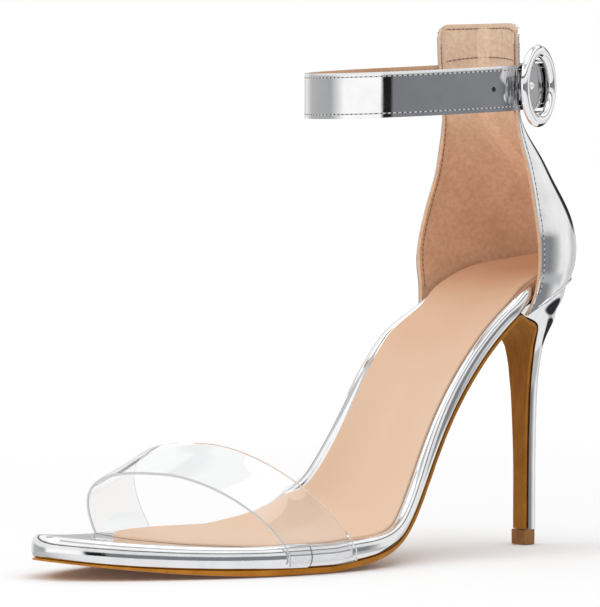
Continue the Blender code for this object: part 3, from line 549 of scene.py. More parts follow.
def heel_top(turn):
    """Height where a column of the heel's wall meets the sole, found in a few rounds."""
    z = np.full_like(turn, HEEL_HEIGHT)
    for _ in range(40):
        x, station = heel_point(turn, z)
        z = 0.5 * z + 0.5 * (underside(station) + OUTSOLE_SHANK * slant(station))
    return z


def outsole_path():
    """The outsole's visible face as (station, height, outer x, inner x, thickness): under the sole
    from toe to breast, round the corner, and down the breast to the top lift."""
    stations = stations_between(HEEL_BREAST + KNEE_BEFORE, LENGTH - OUTSOLE_INSET, 40)[::-1]
    outer, inner = edge(stations, "outer"), edge(stations, "inner")
    thick = outsole_thickness(stations)
    levels = np.concatenate([np.linspace(FLAP_TURN, 0.74, 9), np.linspace(0.66, 0.0, 7)])
    levels = blend(LIFT_HEIGHT + GAP, HEEL_HEIGHT, levels)
    breast = np.stack([breast_station(levels), levels], -1)
    down = breast - square_to(heading(breast)) * FLAP
    half = heel_half(levels)
    shift = SEAT_SHIFT * heel_open_width(levels)
    bend = np.linspace(0, 1, 5)[1:-1]
    start = np.array([stations[-1], underside(stations[-1])])
    knee = np.array([HEEL_BREAST + KNEE_SET, underside(HEEL_BREAST + KNEE_SET)])
    turn = (((1 - bend) ** 2)[:, None] * start + (2 * bend * (1 - bend))[:, None] * knee
            + (bend ** 2)[:, None] * down[0])
    path = np.concatenate([np.stack([stations, underside(stations)], -1), turn, down])
    outer = np.concatenate([outer, blend(outer[-1], half[0] + shift[0], bend), half + shift])
    inner = np.concatenate([inner, blend(inner[-1], shift[0] - half[0], bend), shift - half])
    thick = np.concatenate([thick, np.full(len(bend) + len(levels), OUTSOLE_SHANK)])
    return path, outer, inner, thick


COUNTER_LEVELS = HEEL_HEIGHT + column(COUNTER_SECTIONS, 0) * (TAB_TOP - HEEL_HEIGHT)
counter_taper, counter_outer, counter_inner, counter_back = (
    spline(COUNTER_LEVELS, column(COUNTER_SECTIONS, k)) for k in (1, 2, 3, 4))


def counter_point(turn, z):
    """The counter's outside at an angle from its outer front edge round the back to the inner one."""
    half = blend(SEAT_WIDTH / 2 + COUNTER_SWELL, TAB_WIDTH / 2, counter_taper(z))
    outer = blend(COUNTER_OUTER_FRONT, TAB_FRONT, counter_outer(z))
    inner = blend(COUNTER_INNER_FRONT, TAB_FRONT, counter_inner(z))
    back = blend(-COUNTER_BULGE, TAB_FRONT - TAB_DEPTH, counter_back(z))
    front = np.where(np.cos(turn) > 0, outer, inner)
    shift = SEAT_SHIFT * (1 - np.clip(counter_taper(z), 0, 1))
    x = shift + half * signed_power(np.cos(turn), 2 / SEAT_ROUNDNESS)
    station = front - (front - back) * np.abs(np.sin(turn)) ** (2 / SEAT_ROUNDNESS)
    return x, station


def counter_foot(turn):
    """Height where the counter's wall meets the heel and outsole, found in a few rounds."""
    z = np.full_like(turn, HEEL_HEIGHT)
    for _ in range(40):
        x, station = counter_point(turn, z)
        z = 0.5 * z + 0.5 * (underside(station) + (OUTSOLE_SHANK + GAP) * slant(station))
    return z


RING_NORMAL = np.array([np.cos(RING_TURN), np.sin(RING_TURN), 0.0])
RING_ALONG = np.array([-np.sin(RING_TURN), np.cos(RING_TURN), 0.0])
UP = np.array([0.0, 0.0, 1.0])
OUTER_LAYER = RING_THICKNESS / 2 + GAP + STRAP_THICKNESS / 2
BAR_DEPTH = OUTER_LAYER + STRAP_THICKNESS / 2 + GAP + BAR_DIAMETER / 2
INNER_LAYER = BAR_DEPTH + BAR_DIAMETER / 2 + GAP + STRAP_THICKNESS / 2


def loop_height(station):
    """Mid-height of the ankle strap, which climbs toward the back."""
    return LOOP_HEIGHT + LOOP_TILT * (LOOP_FRONT - station)


RING_CENTRE = np.array([RING_OUT, -RING_STATION, loop_height(RING_STATION)])


def in_ring(t, n, w):
    """A point in the buckle's frame."""
    t, n, w = np.broadcast_arrays(*(np.asarray(v, float) for v in (t, n, w)))
    return RING_CENTRE + t[..., None] * RING_ALONG + n[..., None] * RING_NORMAL + w[..., None] * UP


def round_tab():
    """The strap's run round the tab's back, a clearance outside the tab at the strap's lower edge."""
    turns = np.radians(STRAP_TURNS)
    level = loop_height(TAB_FRONT) - STRAP_WIDTH / 2 - GAP
    plan = [np.stack(counter_point(t, np.full_like(t, level)), -1) * (1, -1)
            for t in (turns - 0.01, turns, turns + 0.01)]
    return plan[1] + square_to(unit(plan[2] - plan[0])) * (STRAP_THICKNESS / 2 + STRAP_CLEAR)


def vamp_point(turn, share):
    """The clear strap's middle at an angle across the foot and a share from front to rear edge.

    Each edge is a superellipse, rounder outside and squarer inside, which stands on the board's
    roll on both sides and leans toward the toe and the inner side as it climbs."""
    outer_station = blend(VAMP_OUTER_FRONT, VAMP_OUTER_REAR, share)
    inner_station = blend(VAMP_INNER_FRONT, VAMP_INNER_REAR, share)
    stand = VAMP_THICKNESS / 2 + VAMP_GAP
    outer, inner = edge(outer_station, "outer") + stand, edge(inner_station, "inner") - stand
    rise = blend(VAMP_FRONT_RISE, VAMP_REAR_RISE, share)
    lean = blend(VAMP_FRONT_LEAN, VAMP_REAR_LEAN, share)
    power = np.where(np.cos(turn) > 0, VAMP_OUTER_POWER, VAMP_INNER_POWER)
    foot_outer, foot_inner = (underside(at) + board_base(at) + board_thickness(at) / 2
                              for at in (outer_station, inner_station))
    climb = rise * np.abs(np.sin(turn)) ** (2 / power)
    across = signed_power(np.cos(turn), 2 / power)
    part = (across + 1) / 2
    x = blend(inner, outer, part) + VAMP_SIDE_LEAN * climb
    station = blend(inner_station, outer_station, part) + lean * climb
    return np.stack([x, -station, blend(foot_inner, foot_outer, part) + climb], -1)


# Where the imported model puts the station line: its top lift tells the shift

LIFT_LOW, LIFT_HIGH = (np.array(corner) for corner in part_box("top_lift"))
SHIFT = np.array([(LIFT_LOW[0] + LIFT_HIGH[0]) / 2, LIFT_HIGH[1] + TIP_SET, 0.0])


# Meshes

def quads(index):
    """Faces between neighbouring rows and columns of a grid of point numbers."""
    return np.stack([index[:-1, :-1], index[1:, :-1], index[1:, 1:], index[:-1, 1:]], -1).reshape(-1, 4)


def end_strip(row):
    """Closes a loop by a strip of faces from side to side, each point joined to its opposite one."""
    k = np.arange(len(row) // 2 - 1)
    return row[np.stack([k, k + 1, len(row) - 2 - k, len(row) - 1 - k], -1)]


def piece(name, points, faces, material, replaces=(), uv=None, sharp=45):
    """Makes a mesh from points and face arrays, turns it outward if its volume is negative, and lets it
    ride on the body."""
    mesh = bpy.data.meshes.new(name)
    mesh.from_pydata((points.reshape(-1, 3) + SHIFT).tolist(), [],
                     [tuple(face) for block in faces for face in block.tolist()])
    if uv is not None:
        layer = mesh.uv_layers.new(name="UVMap")
        corner = np.empty(len(mesh.loops), int)
        mesh.loops.foreach_get("vertex_index", corner)
        layer.data.foreach_set("uv", uv.reshape(-1, 2)[corner].ravel())
    mesh.shade_smooth()
    mesh.set_sharp_from_angle(angle=np.radians(sharp))
    mesh.materials.append(material)
    item = bpy.data.objects.new(name, mesh)
    bpy.context.collection.objects.link(item)
    mesh.calc_loop_triangles()
    corners = np.empty(len(mesh.vertices) * 3)
    mesh.vertices.foreach_get("co", corners)
    triangles = np.empty(len(mesh.loop_triangles) * 3, int)
    mesh.loop_triangles.foreach_get("vertices", triangles)
    a, b, c = (corners.reshape(-1, 3)[triangles[k::3]] for k in range(3))
    if np.einsum("ij,ij->i", a, np.cross(b, c)).sum() < 0:
        mesh.flip_normals()
    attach(item, "root")
    if replaces:
        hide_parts(*replaces)
    return item


def loft(name, grid, material, replaces=(), ring=False, uv=None, sharp=45):
    """A closed solid from sections: each row of the grid is a closed section, and the rows either join
    up into a ring or are closed by a strip at both ends."""
    rows, columns = grid.shape[:2]
    index = np.arange(rows * columns).reshape(rows, columns)
    around = np.concatenate([index, index[:, :1]], 1)
    if ring:
        around = np.concatenate([around, around[:1]])
    faces = [quads(around)]
    if not ring:
        faces += [end_strip(index[0]), end_strip(index[-1])[:, ::-1]]
    return piece(name, grid, faces, material, replaces, uv, sharp)


def uv_grid(u, v):
    return np.stack(np.meshgrid(u, v, indexing="ij"), -1)


def shell(name, outside, inside, material, replaces=(), uv=None, sharp=45):
    """A sheet with thickness between two grids, closed round all its rims."""
    if uv is None:
        uv = uv_grid(*(np.linspace(0, 1, count) for count in outside.shape[:2]))
    return loft(name, np.concatenate([outside, inside[:, ::-1]], 1), material, replaces,
                uv=np.concatenate([uv, uv[:, ::-1]], 1), sharp=sharp)


def normals_of(grid):
    """Unit normals of a grid, from its differences along rows and columns."""
    normal = np.cross(np.gradient(grid, axis=0), np.gradient(grid, axis=1))
    size = np.linalg.norm(normal, axis=2)[..., None]
    return normal / np.maximum(size, 1e-12)


def stitch_row(name, centres, along, up, length, width, height, material):
    """Short rounded threads, one for each centre: a spindle whose half width is the sine of its
    length's angle to a small power, and which stands half out of the leather."""
    turns = np.linspace(0, np.pi, 7)
    circle = round_angles(6)
    reach = -np.cos(turns) * length / 2
    girth = np.sin(turns).clip(0.04) ** 0.5 * 0.5
    side = np.cross(up, along)
    point = (centres[:, None, None] + along[:, None, None] * reach[None, :, None, None]
             + side[:, None, None] * (girth[:, None] * np.cos(circle) * width)[None, ..., None]
             + up[:, None, None] * (girth[:, None] * np.sin(circle) * height)[None, ..., None])
    index = np.arange(len(centres) * 42).reshape(-1, 7, 6)
    around = np.concatenate([index, index[:, :, :1]], 2)
    sides = np.stack([around[:, :-1, :-1], around[:, 1:, :-1], around[:, 1:, 1:], around[:, :-1, 1:]], -1)
    return piece(name, point, [sides.reshape(-1, 4), index[:, 0, ::-1], index[:, 6]], material)


STITCH_STEP = 1.9 * MM
THREAD_WIDTH = 0.5 * MM
PROBE = 0.1 * MM


def seam(name, path, facing, step, thread, pit):
    """A sewn row: threads at even steps along a path, and a small needle hole between each two, drawn as a
    dark bead of painted shade.
    """
    size = lengths_along(path)
    at = np.linspace(step, size[-1] - step, max(int((size[-1] - 2 * step) / step), 2))
    centre = points_at(at, size, path)
    ahead = unit(points_at(at + PROBE, size, path) - points_at(at - PROBE, size, path))

    def square(at, ahead):
        out = points_at(at, size, facing)
        return unit(out - ahead * np.sum(out * ahead, 1)[:, None])

    stitch_row(name, centre, ahead, square(at, ahead), step * 0.66, THREAD_WIDTH, 0.4 * MM, thread)
    middles, turned = (centre[1:] + centre[:-1]) / 2, unit((ahead[1:] + ahead[:-1]) / 2)
    stitch_row(name + "_holes", middles, turned, square((at[1:] + at[:-1]) / 2, turned), step * 0.42,
               THREAD_WIDTH, 0.12 * MM, pit)


# Shader arithmetic

class Signal:
    """A shader socket with arithmetic: each operator adds one Math node."""

    def __init__(self, finish, socket):
        self.finish, self.socket = finish, socket

    def math(self, operation, *values):
        return self.finish.node("ShaderNodeMath", {"operation": operation},
                                dict(enumerate((self, *values))))

    def __add__(self, other):
        return self.math("ADD", other)

    def __sub__(self, other):
        return self.math("SUBTRACT", other)

    def __mul__(self, other):
        return self.math("MULTIPLY", other)

    def __truediv__(self, other):
        return self.math("DIVIDE", other)

    def __pow__(self, other):
        return self * self if other == 2 else self.math("POWER", other)

    def __rsub__(self, other):
        return self.finish.node("ShaderNodeMath", {"operation": "SUBTRACT"}, {0: other, 1: self})

    __radd__, __rmul__ = __add__, __mul__

    def ramp(self, low, high):
        """A soft 0 to 1 step between two values."""
        return self.finish.node("ShaderNodeMapRange", {"interpolation_type": "SMOOTHSTEP"},
                                {"Value": self, "From Min": low, "From Max": high})


class Nodes:
    """Adds nodes to one tree."""

    def __init__(self, tree):
        self.tree = tree

    def node(self, kind, settings=None, sockets=None, output=0):
        """Adds any node: its settings first, then its sockets by name or number."""
        made = self.tree.nodes.new(kind)
        for key, value in (settings or {}).items():
            if key == "stops":
                ramp = made.color_ramp
                while len(ramp.elements) < len(value):
                    ramp.elements.new(0.5)
                for element, (position, colour) in zip(ramp.elements, value):
                    element.position, element.color = position, (*colour, 1)
            else:
                setattr(made, key, value)
        for key, value in (sockets or {}).items():
            socket = made.inputs[key]
            if isinstance(value, Signal):
                self.tree.links.new(value.socket, socket)
            elif isinstance(value, tuple) and len(value) == 3 and socket.type == "RGBA":
                socket.default_value = (*value, 1)
            else:
                socket.default_value = value
        return Signal(self, made.outputs[output])

    def part(self, vector, axis):
        """One axis of a vector."""
        return self.node("ShaderNodeSeparateXYZ", {}, {0: vector}, output=axis)

    def measure(self, operation, *vectors):
        """A number taken from vectors: a distance, a length or a dot product."""
        return self.node("ShaderNodeVectorMath", {"operation": operation}, dict(enumerate(vectors)),
                         output="Value")

    def mix(self, factor, first, second):
        return self.node("ShaderNodeMix", {"data_type": "RGBA"}, {0: factor, 6: first, 7: second}, output=2)


class Finish(Nodes):
    """A Principled material being made; constants go straight onto its sockets."""

    def __init__(self, name, **constants):
        self.material = bpy.data.materials.new(name)
        self.material.use_nodes = True
        super().__init__(self.material.node_tree)
        self.shader = self.tree.nodes["Principled BSDF"]
        for key, value in constants.items():
            socket = self.shader.inputs[key.replace("_", " ")]
            socket.default_value = (*value, 1) if isinstance(value, tuple) else value

    def feed(self, socket, signal):
        self.tree.links.new(signal.socket, self.shader.inputs[socket])

    def place(self):
        return self.node("ShaderNodeTexCoord", output="Object")

    def stretched(self, *scale):
        return self.node("ShaderNodeMapping", {}, {"Vector": self.place(), "Scale": scale})

    def noise(self, scale, detail=3.0, rough=0.5, vector=None):
        return self.node("ShaderNodeTexNoise", {}, {"Vector": vector or self.place(), "Scale": scale,
                                                    "Detail": detail, "Roughness": rough}, output="Fac")

    def bump(self, height, distance, strength=1.0, under=None):
        sockets = {"Height": height, "Distance": distance, "Strength": strength}
        if under is not None:
            sockets["Normal"] = under
        return self.node("ShaderNodeBump", {}, sockets, output="Normal")


def mirror_leather(name, wave, grain=0.3, buckled=None):
    """Silver foil on leather: a slow waviness of the hide under the foil, a faint pebble, soft clouds of wear
    in the roughness and in the tone, and, if two places are given, upright folds round the first and a
    painted shade, a dark grey tone, round the second."""
    finish = Finish(name, Metallic=1.0)
    slow = finish.noise(24, 1.0, 0.3)
    fine = finish.noise(700, 3.0, 0.6)
    cloudy = finish.noise(110, 3.0, 0.55)
    tone = finish.mix(cloudy.ramp(0.3, 0.8), (0.88, 0.88, 0.885), (0.80, 0.80, 0.81))
    finish.feed("Roughness", cloudy.ramp(0.35, 0.75) * 0.04 + 0.035)
    normal = finish.bump(slow, 0.004, wave)
    if buckled is not None:
        away, from_painted_shade = (finish.measure("DISTANCE", finish.place(), place) for place in buckled)
        # Painted shade: within about 18.5 mm of the second place the colour turns dark grey, easing back to
        # the foil's tone by 26 mm.
        tone = finish.mix(from_painted_shade.ramp(18.5 * MM, 26 * MM), (0.36, 0.36, 0.37), tone)
        upright = finish.noise(520, 1.5, 0.5, finish.stretched(1.0, 1.0, 0.16))
        fold = upright * (1 - away.ramp(3.5 * MM, 8.5 * MM))
        normal = finish.bump(fold, 0.0011, 1.0, under=normal)
    finish.feed("Normal", finish.bump(fine, 0.00003, grain, under=normal))
    finish.feed("Base Color", tone)
    return finish.material


def sock_finish():
    """Smooth tan leather: redder and deeper toward the heel, a soft cloud, and a pebbled grain."""
    finish = Finish("sock leather", Roughness=0.5, Specular_IOR_Level=0.35)
    along = finish.part(finish.node("ShaderNodeTexCoord", output="UV"), "Y")
    cloud = finish.noise(28, 3.0, 0.5)
    depth = 1 - (along + (cloud - 0.5) * 0.06).ramp(0.02, 0.40)
    shade = finish.mix(depth, (0.78, 0.55, 0.39), (0.68, 0.375, 0.215))
    soft = finish.mix(cloud.ramp(0.3, 0.8) * 0.35, shade, (0.78, 0.57, 0.43))
    finish.feed("Base Color", soft)
    grain = finish.noise(1900, 4.0, 0.6)
    finish.feed("Roughness", grain * 0.16 + 0.42)
    finish.feed("Normal", finish.bump(grain, 0.00008, 0.35))
    return finish.material


def lining_finish(name="lining suede", tone=1.0):
    """A napped lining: fine mottling by how the nap lies, and a paler tone toward the top."""
    finish = Finish(name, Roughness=0.92, Specular_IOR_Level=0.1, Sheen_Weight=0.05, Sheen_Roughness=0.5)
    up = finish.part(finish.place(), "Z")
    nap = finish.noise(520, 5.0, 0.7)
    patch = finish.noise(60, 3.0, 0.5)
    speck = (patch * 0.35 + nap * 0.65).ramp(0.36, 0.66)
    dark, pale, top_dark, top_pale = (tuple(c * tone for c in colour) for colour in (
        (0.64, 0.375, 0.235), (0.78, 0.50, 0.335), (0.62, 0.425, 0.295), (0.75, 0.57, 0.43)))
    finish.feed("Base Color", finish.mix(up.ramp(0.152, 0.186), finish.mix(speck, dark, pale),
                                         finish.mix(speck, top_dark, top_pale)))
    fibre = finish.noise(1500, 3.0, 0.7)
    finish.feed("Normal", finish.bump(fibre + nap * 0.8, 0.0002, 0.55))
    return finish.material


def strap_lining_finish():
    """The strap's smooth tan lining: a soft cloud over fine pores."""
    finish = Finish("strap lining", Roughness=0.55, Specular_IOR_Level=0.3)
    cloud = finish.noise(60, 3.0, 0.5)
    finish.feed("Base Color", finish.mix(cloud.ramp(0.3, 0.7), (0.50, 0.29, 0.17), (0.62, 0.40, 0.26)))
    grain = finish.noise(1700, 4.0, 0.6)
    finish.feed("Roughness", grain * 0.15 + 0.46)
    finish.feed("Normal", finish.bump(grain, 0.00008, 0.4))
    return finish.material


def brown_finish(name, colour, deep, gloss):
    """Stained sole leather with a worn satin polish: long streaks, small pores, and painted light that makes
    it paler toward the toe.
    """
    finish = Finish(name, Roughness=gloss, Specular_IOR_Level=0.12)
    # Mask for painted light along y: 0 toward the toe, where the sole is painted paler, 1 toward the back.
    back = finish.part(finish.place(), "Y").ramp(-0.07, 0.06)
    streak = finish.noise(420, 4.0, 0.6, finish.stretched(1.0, 0.12, 0.25))
    pore = finish.noise(1400, 3.0, 0.6)
    stained = finish.mix(streak.ramp(0.3, 0.72), colour, deep)
    # Painted light: a copy of the stain 1.5 times brighter, which takes over toward the toe.
    pale = finish.mix(streak.ramp(0.3, 0.72), tuple(c * 1.5 for c in colour), tuple(c * 1.5 for c in deep))
    finish.feed("Base Color", finish.mix(back, pale, stained))
    finish.feed("Roughness", streak * 0.16 + (gloss - 0.06))
    finish.feed("Normal", finish.bump(pore, 0.00006, 0.4))
    return finish.material


def chrome_finish():
    """Polished metal with the faintest unevenness left by the buffing wheel."""
    finish = Finish("buckle chrome", Base_Color=(0.9, 0.9, 0.905), Metallic=1.0, Roughness=0.05)
    buff = finish.noise(300, 2.0, 0.5)
    finish.feed("Roughness", buff * 0.05 + 0.02)
    finish.feed("Normal", finish.bump(buff, 0.00002, 0.3))
    return finish.material


def thread_finish(name, colour):
    finish = Finish(name, Roughness=0.75, Sheen_Weight=0.2)
    twist = finish.noise(3800, 2.0, 0.6)
    finish.feed("Base Color", finish.mix(twist.ramp(0.35, 0.65), colour, tuple(c * 0.62 for c in colour)))
    finish.feed("Normal", finish.bump(twist, 0.00006, 0.5))
    return finish.material


def clear_finish():
    """Clear soft sheet: nearly invisible face on, brighter at a slant, with slow ripples."""
    finish = Finish("clear sheet", Base_Color=(0.93, 0.935, 0.94), Roughness=0.03, IOR=1.45,
                    Transmission_Weight=1.0, Specular_IOR_Level=0.5)
    ripple = finish.noise(26, 2.0, 0.4)
    finish.feed("Normal", finish.bump(ripple, 0.0015, 0.2))
    return finish.material


def edge_finish():
    """The cut edge of the clear sheet, which scatters light and looks whitish grey."""
    finish = Finish("clear sheet edge", Base_Color=(0.74, 0.745, 0.75), Roughness=0.3,
                    Transmission_Weight=0.12, IOR=1.4)
    cloud = finish.noise(500, 2.0, 0.5)
    finish.feed("Roughness", cloud * 0.2 + 0.22)
    return finish.material


SILVER = mirror_leather("mirror leather", 0.05)
SILVER_COUNTER = mirror_leather("mirror leather on the counter", 0.10)
TAPE = lining_finish("tape suede", 1.08)
STRAP_LINING = strap_lining_finish()
SILVER_SMOOTH = mirror_leather("mirror leather on the heel", 0.04)
# The second place centres the painted shade on the strap round the ring.
FOLDS_AT, SHADE_PAINTED_AT = (tuple(in_ring(along, -OUTER_LAYER, 0.0) + SHIFT) for along in (-17.5 * MM, 0.0))
SILVER_STRAP = mirror_leather("mirror leather on the strap", 0.06, 0.2, (FOLDS_AT, SHADE_PAINTED_AT))
SOCK = sock_finish()
LINING = lining_finish()
BROWN = brown_finish("sole leather", (0.38, 0.155, 0.018), (0.30, 0.108, 0.009), 0.42)
LIFT = brown_finish("top lift", (0.32, 0.15, 0.05), (0.22, 0.10, 0.03), 0.5)
CHROME = chrome_finish()
BROWN_THREAD = thread_finish("lining thread", (0.50, 0.33, 0.23))
GREY_THREAD = thread_finish("strap thread", (0.62, 0.62, 0.64))
CLEAR = clear_finish()
CLEAR_EDGE = edge_finish()
# Painted shade for pierced places: dark beads for needle holes and the slit in the wrap, near-black on the
# silver, brown in the lining.
PIERCING_SHADE_DARK = thread_finish("needle holes", (0.06, 0.05, 0.05))
PIERCING_SHADE_BROWN = thread_finish("needle holes in the lining", (0.17, 0.085, 0.05))
CREASE_SHADE = thread_finish("shaded crease", (0.20, 0.20, 0.21))
# Near-black painted shade for the punched holes, which are not cut through.
HOLE_SHADE = Finish("punched hole", Base_Color=(0.02, 0.018, 0.016), Roughness=0.8).material


# The sole's layers: the brown sole shows thinner at the toe, and the board's wrap rests on it

BROWN_TOE_SHARE, BROWN_TOE_OVER = 0.32, 70 * MM
BROWN_FORE_SHARE, BROWN_FORE_FROM, BROWN_FORE_OVER = 0.8, 110 * MM, 30 * MM
WRAP_LIFT = 0.04 * MM
SLOT_LIFT = 0.03 * MM
SOCK_LIFT = 0.08 * MM
LAP_FROM, LAP_TO, LAP_BOW, LAP_HEIGHT = 156.5 * MM, 182 * MM, 1.2 * MM, 0.42 * MM
SLOT_LENGTH, SLOT_WIDTH = 9 * MM, 0.7 * MM
BREAST_THICKER = 0.42 * MM


def brown_thickness(station):
    toe = ease((LENGTH - station) / BROWN_TOE_OVER)
    fore = ease((station - BROWN_FORE_FROM) / BROWN_FORE_OVER)
    share = blend(1.0, BROWN_FORE_SHARE, fore), blend(BROWN_TOE_SHARE, 1.0, toe)
    return outsole_thickness(station) * share[0] * share[1]


def wrap_base(station):
    return brown_thickness(station) + WRAP_LIFT


def bed(station):
    """The shallow bed that shows round the sock."""
    return 0.45 * recess(station)


def wrap_height(share, sink):
    """Height of one ring of the wrap's roll, from the brown sole up to the board's top."""
    def height(station, x):
        thick = footbed(station, x) - wrap_base(station)
        return wrap_base(station) + share * thick - sink * bed(station)
    return height


ROLL_DEPTH = 2.3 * MM
UV_SPAN = 300 * MM


def roll_section(angle):
    """How far in and how high, as a share, the wrap's roll lies at an angle up its edge."""
    return ROLL_DEPTH * (1 - np.cos(angle) ** 0.85), 0.5 + 0.5 * signed_power(np.sin(angle), 0.95)


def plate_fine(name, outer, inner, stations, rings, bottom, top, columns, material, replaces):
    """A closed plate that follows the sole: rings of (inset, height) up its edge, and a web of columns
    between its two sides below and above. Its UV map is x and the run along the sole."""
    base = ring_of(outer, inner, stations)
    count, half = len(base), len(stations)
    index = np.arange(len(rings) * count).reshape(len(rings), count)
    faces = [quads(np.concatenate([index, index[:, :1]], 1))]
    flats, points = [], []
    for distance, height in rings:
        loop = inset(base, distance)
        flats.append(loop)
        points.append(place(loop[:, 0], loop[:, 1], height(station_at(loop[:, 1]), loop[:, 0])))
    shares = np.linspace(0, 1, columns + 1)[1:-1]
    for level, height, turn in ((0, bottom, 1), (len(rings) - 1, top, -1)):
        near, far = flats[level][1:half - 1], flats[level][:half - 1:-1]
        across = blend(near[:, None], far[:, None], shares[:, None]).reshape(-1, 2)
        web = np.empty((half, columns + 1), int)
        web[0], web[-1] = index[level, 0], index[level, half - 1]
        web[1:-1, 0], web[1:-1, -1] = index[level, 1:half - 1], index[level, :half - 1:-1]
        web[1:-1, 1:-1] = sum(map(len, points)) + np.arange(len(across)).reshape(-1, len(shares))
        points.append(place(across[:, 0], across[:, 1], height(station_at(across[:, 1]), across[:, 0])))
        flats.append(across)
        cells = quads(web)
        faces += [part[:, ::turn]
                  for part in (cells[columns:-columns], cells[:columns, 1:], cells[-columns:, :3])]
    uv = np.concatenate(flats) / UV_SPAN + (0.5, 0)
    return piece(name, np.concatenate(points), faces, material, replaces, uv, 50)


FINE_STATIONS = stations_between(0.0, LENGTH, 200)


def wrapped_board():
    """The board in its mirror wrap. Up the edge the inset is one minus a cosine and the height a sine of
    one angle, which gives a full round roll; then a small step drops into the sock's bed."""
    outer, inner = edge(FINE_STATIONS, "outer"), edge(FINE_STATIONS, "inner")
    room = ring_values(counter_room, FINE_STATIONS)
    rings = [(room + ROLL_DEPTH * 1.5, wrap_height(0.0, 0.0))]
    for angle in np.radians(np.linspace(-90, 90, 23)):
        distance, share = roll_section(angle)
        rings.append((room + distance, wrap_height(share, 0.0)))
    for more, sink in ((0.3, 0.15), (0.5, 0.9), (0.8, 1.0)):
        rings.append((room + ROLL_DEPTH + more * MM, wrap_height(1.0, sink)))

    def bottom(station, x):
        return wrap_base(station)

    def top(station, x):
        return footbed(station, x) - bed(station)

    return plate_fine("wrapped_board", outer, inner, FINE_STATIONS, rings, bottom, top, 26, SILVER,
                      ("insole_board",))


def wrap_lap():
    """The lap where the wrap's end is glued over itself: the roll's own section, raised by an amount
    that fades along the edge, so only its rear end shows as a step."""
    stations = np.linspace(LAP_FROM, LAP_TO, 50)
    angle = np.radians(np.linspace(-84, 90, 30))
    bow = LAP_BOW * np.cos(angle)
    stations = stations[:, None] - bow * np.linspace(1, 0, 50)[:, None]
    x, run = edge(stations, "outer"), run_at(stations)
    ahead = heading(np.stack([x, run], -1))
    depth, share = roll_section(angle)

    def skin(lift):
        away = depth - lift * np.cos(angle)
        height = wrap_height(share, 0.0)(stations, x) + lift * np.sin(angle)
        return place(x - ahead[..., 1] * away, run + ahead[..., 0] * away, height)

    raised = LAP_HEIGHT * (1 - ease(np.linspace(0, 1, 50)))[:, None]
    shell("wrap_lap", skin(raised), skin(-0.15 * MM), SILVER)
    # A dark strip of painted shade in the step at the lap's rear end.
    edge_line, foot_line = skin(raised)[0], skin(0.02 * MM)[0]
    back = foot_line + (foot_line - skin(0.02 * MM)[1]) * 1.5
    rows = np.stack([edge_line, foot_line * 0.4 + edge_line * 0.6, back], 0)
    under = rows - (skin(raised)[0] - skin(-0.3 * MM)[0])[None] * 0.3
    shell("wrap_lap_crease", rows, under, CREASE_SHADE)


def strap_slot():
    """The dark slit in the wrap beside the clear strap's inner foot, a bead of painted shade."""
    station = np.array([194.0, 188.5]) * MM
    x = edge(station, "inner") + np.array([3.0, 10.0]) * MM
    ends = place(x, run_at(station), footbed(station, x) + SLOT_LIFT)
    along = (ends[1] - ends[0]) / np.linalg.norm(ends[1] - ends[0])
    stitch_row("strap_slot", ends.mean(0)[None], along[None], UP[None], SLOT_LENGTH, SLOT_WIDTH, 0.16 * MM,
               PIERCING_SHADE_DARK)


def laid_sock():
    """The sock in its bed, its edge eased by a quarter round."""
    first = COUNTER_WALL + 3 * GAP + SOCK_SEAT
    stations = stations_between(first, SOCK_TIP, 170)
    sides = []
    t = np.clip((stations - first) / SOCK_SEAT_ROUND, 0, 1)
    opening = (1 - (1 - t) ** 2.2) ** (1 / 2.2)
    held = np.where(stations < first + SOCK_SEAT_ROUND, opening, 1)
    for side in ("outer", "inner"):
        full = sock_edge(stations, side)
        sides.append(middle(stations) + (full - middle(stations)) * held)

    def low(station, x):
        return footbed(station, x) - bed(station) + SOCK_LIFT

    def high(station, x):
        return footbed(station, x) - recess(station) + SOCK_THICKNESS + SOCK_GAP

    def shoulder(drop):
        return lambda station, x: high(station, x) - drop

    ease_in = SOCK_EASE * 1.3
    rings = [(0.0, low)] + [(ease_in * (1 - np.cos(a)), shoulder(ease_in * (1 - np.sin(a))))
                            for a in np.radians((0, 30, 60, 90))]
    return plate_fine("laid_sock", sides[0], sides[1], stations, rings, low, high, 26, SOCK,
                      ("sock",))


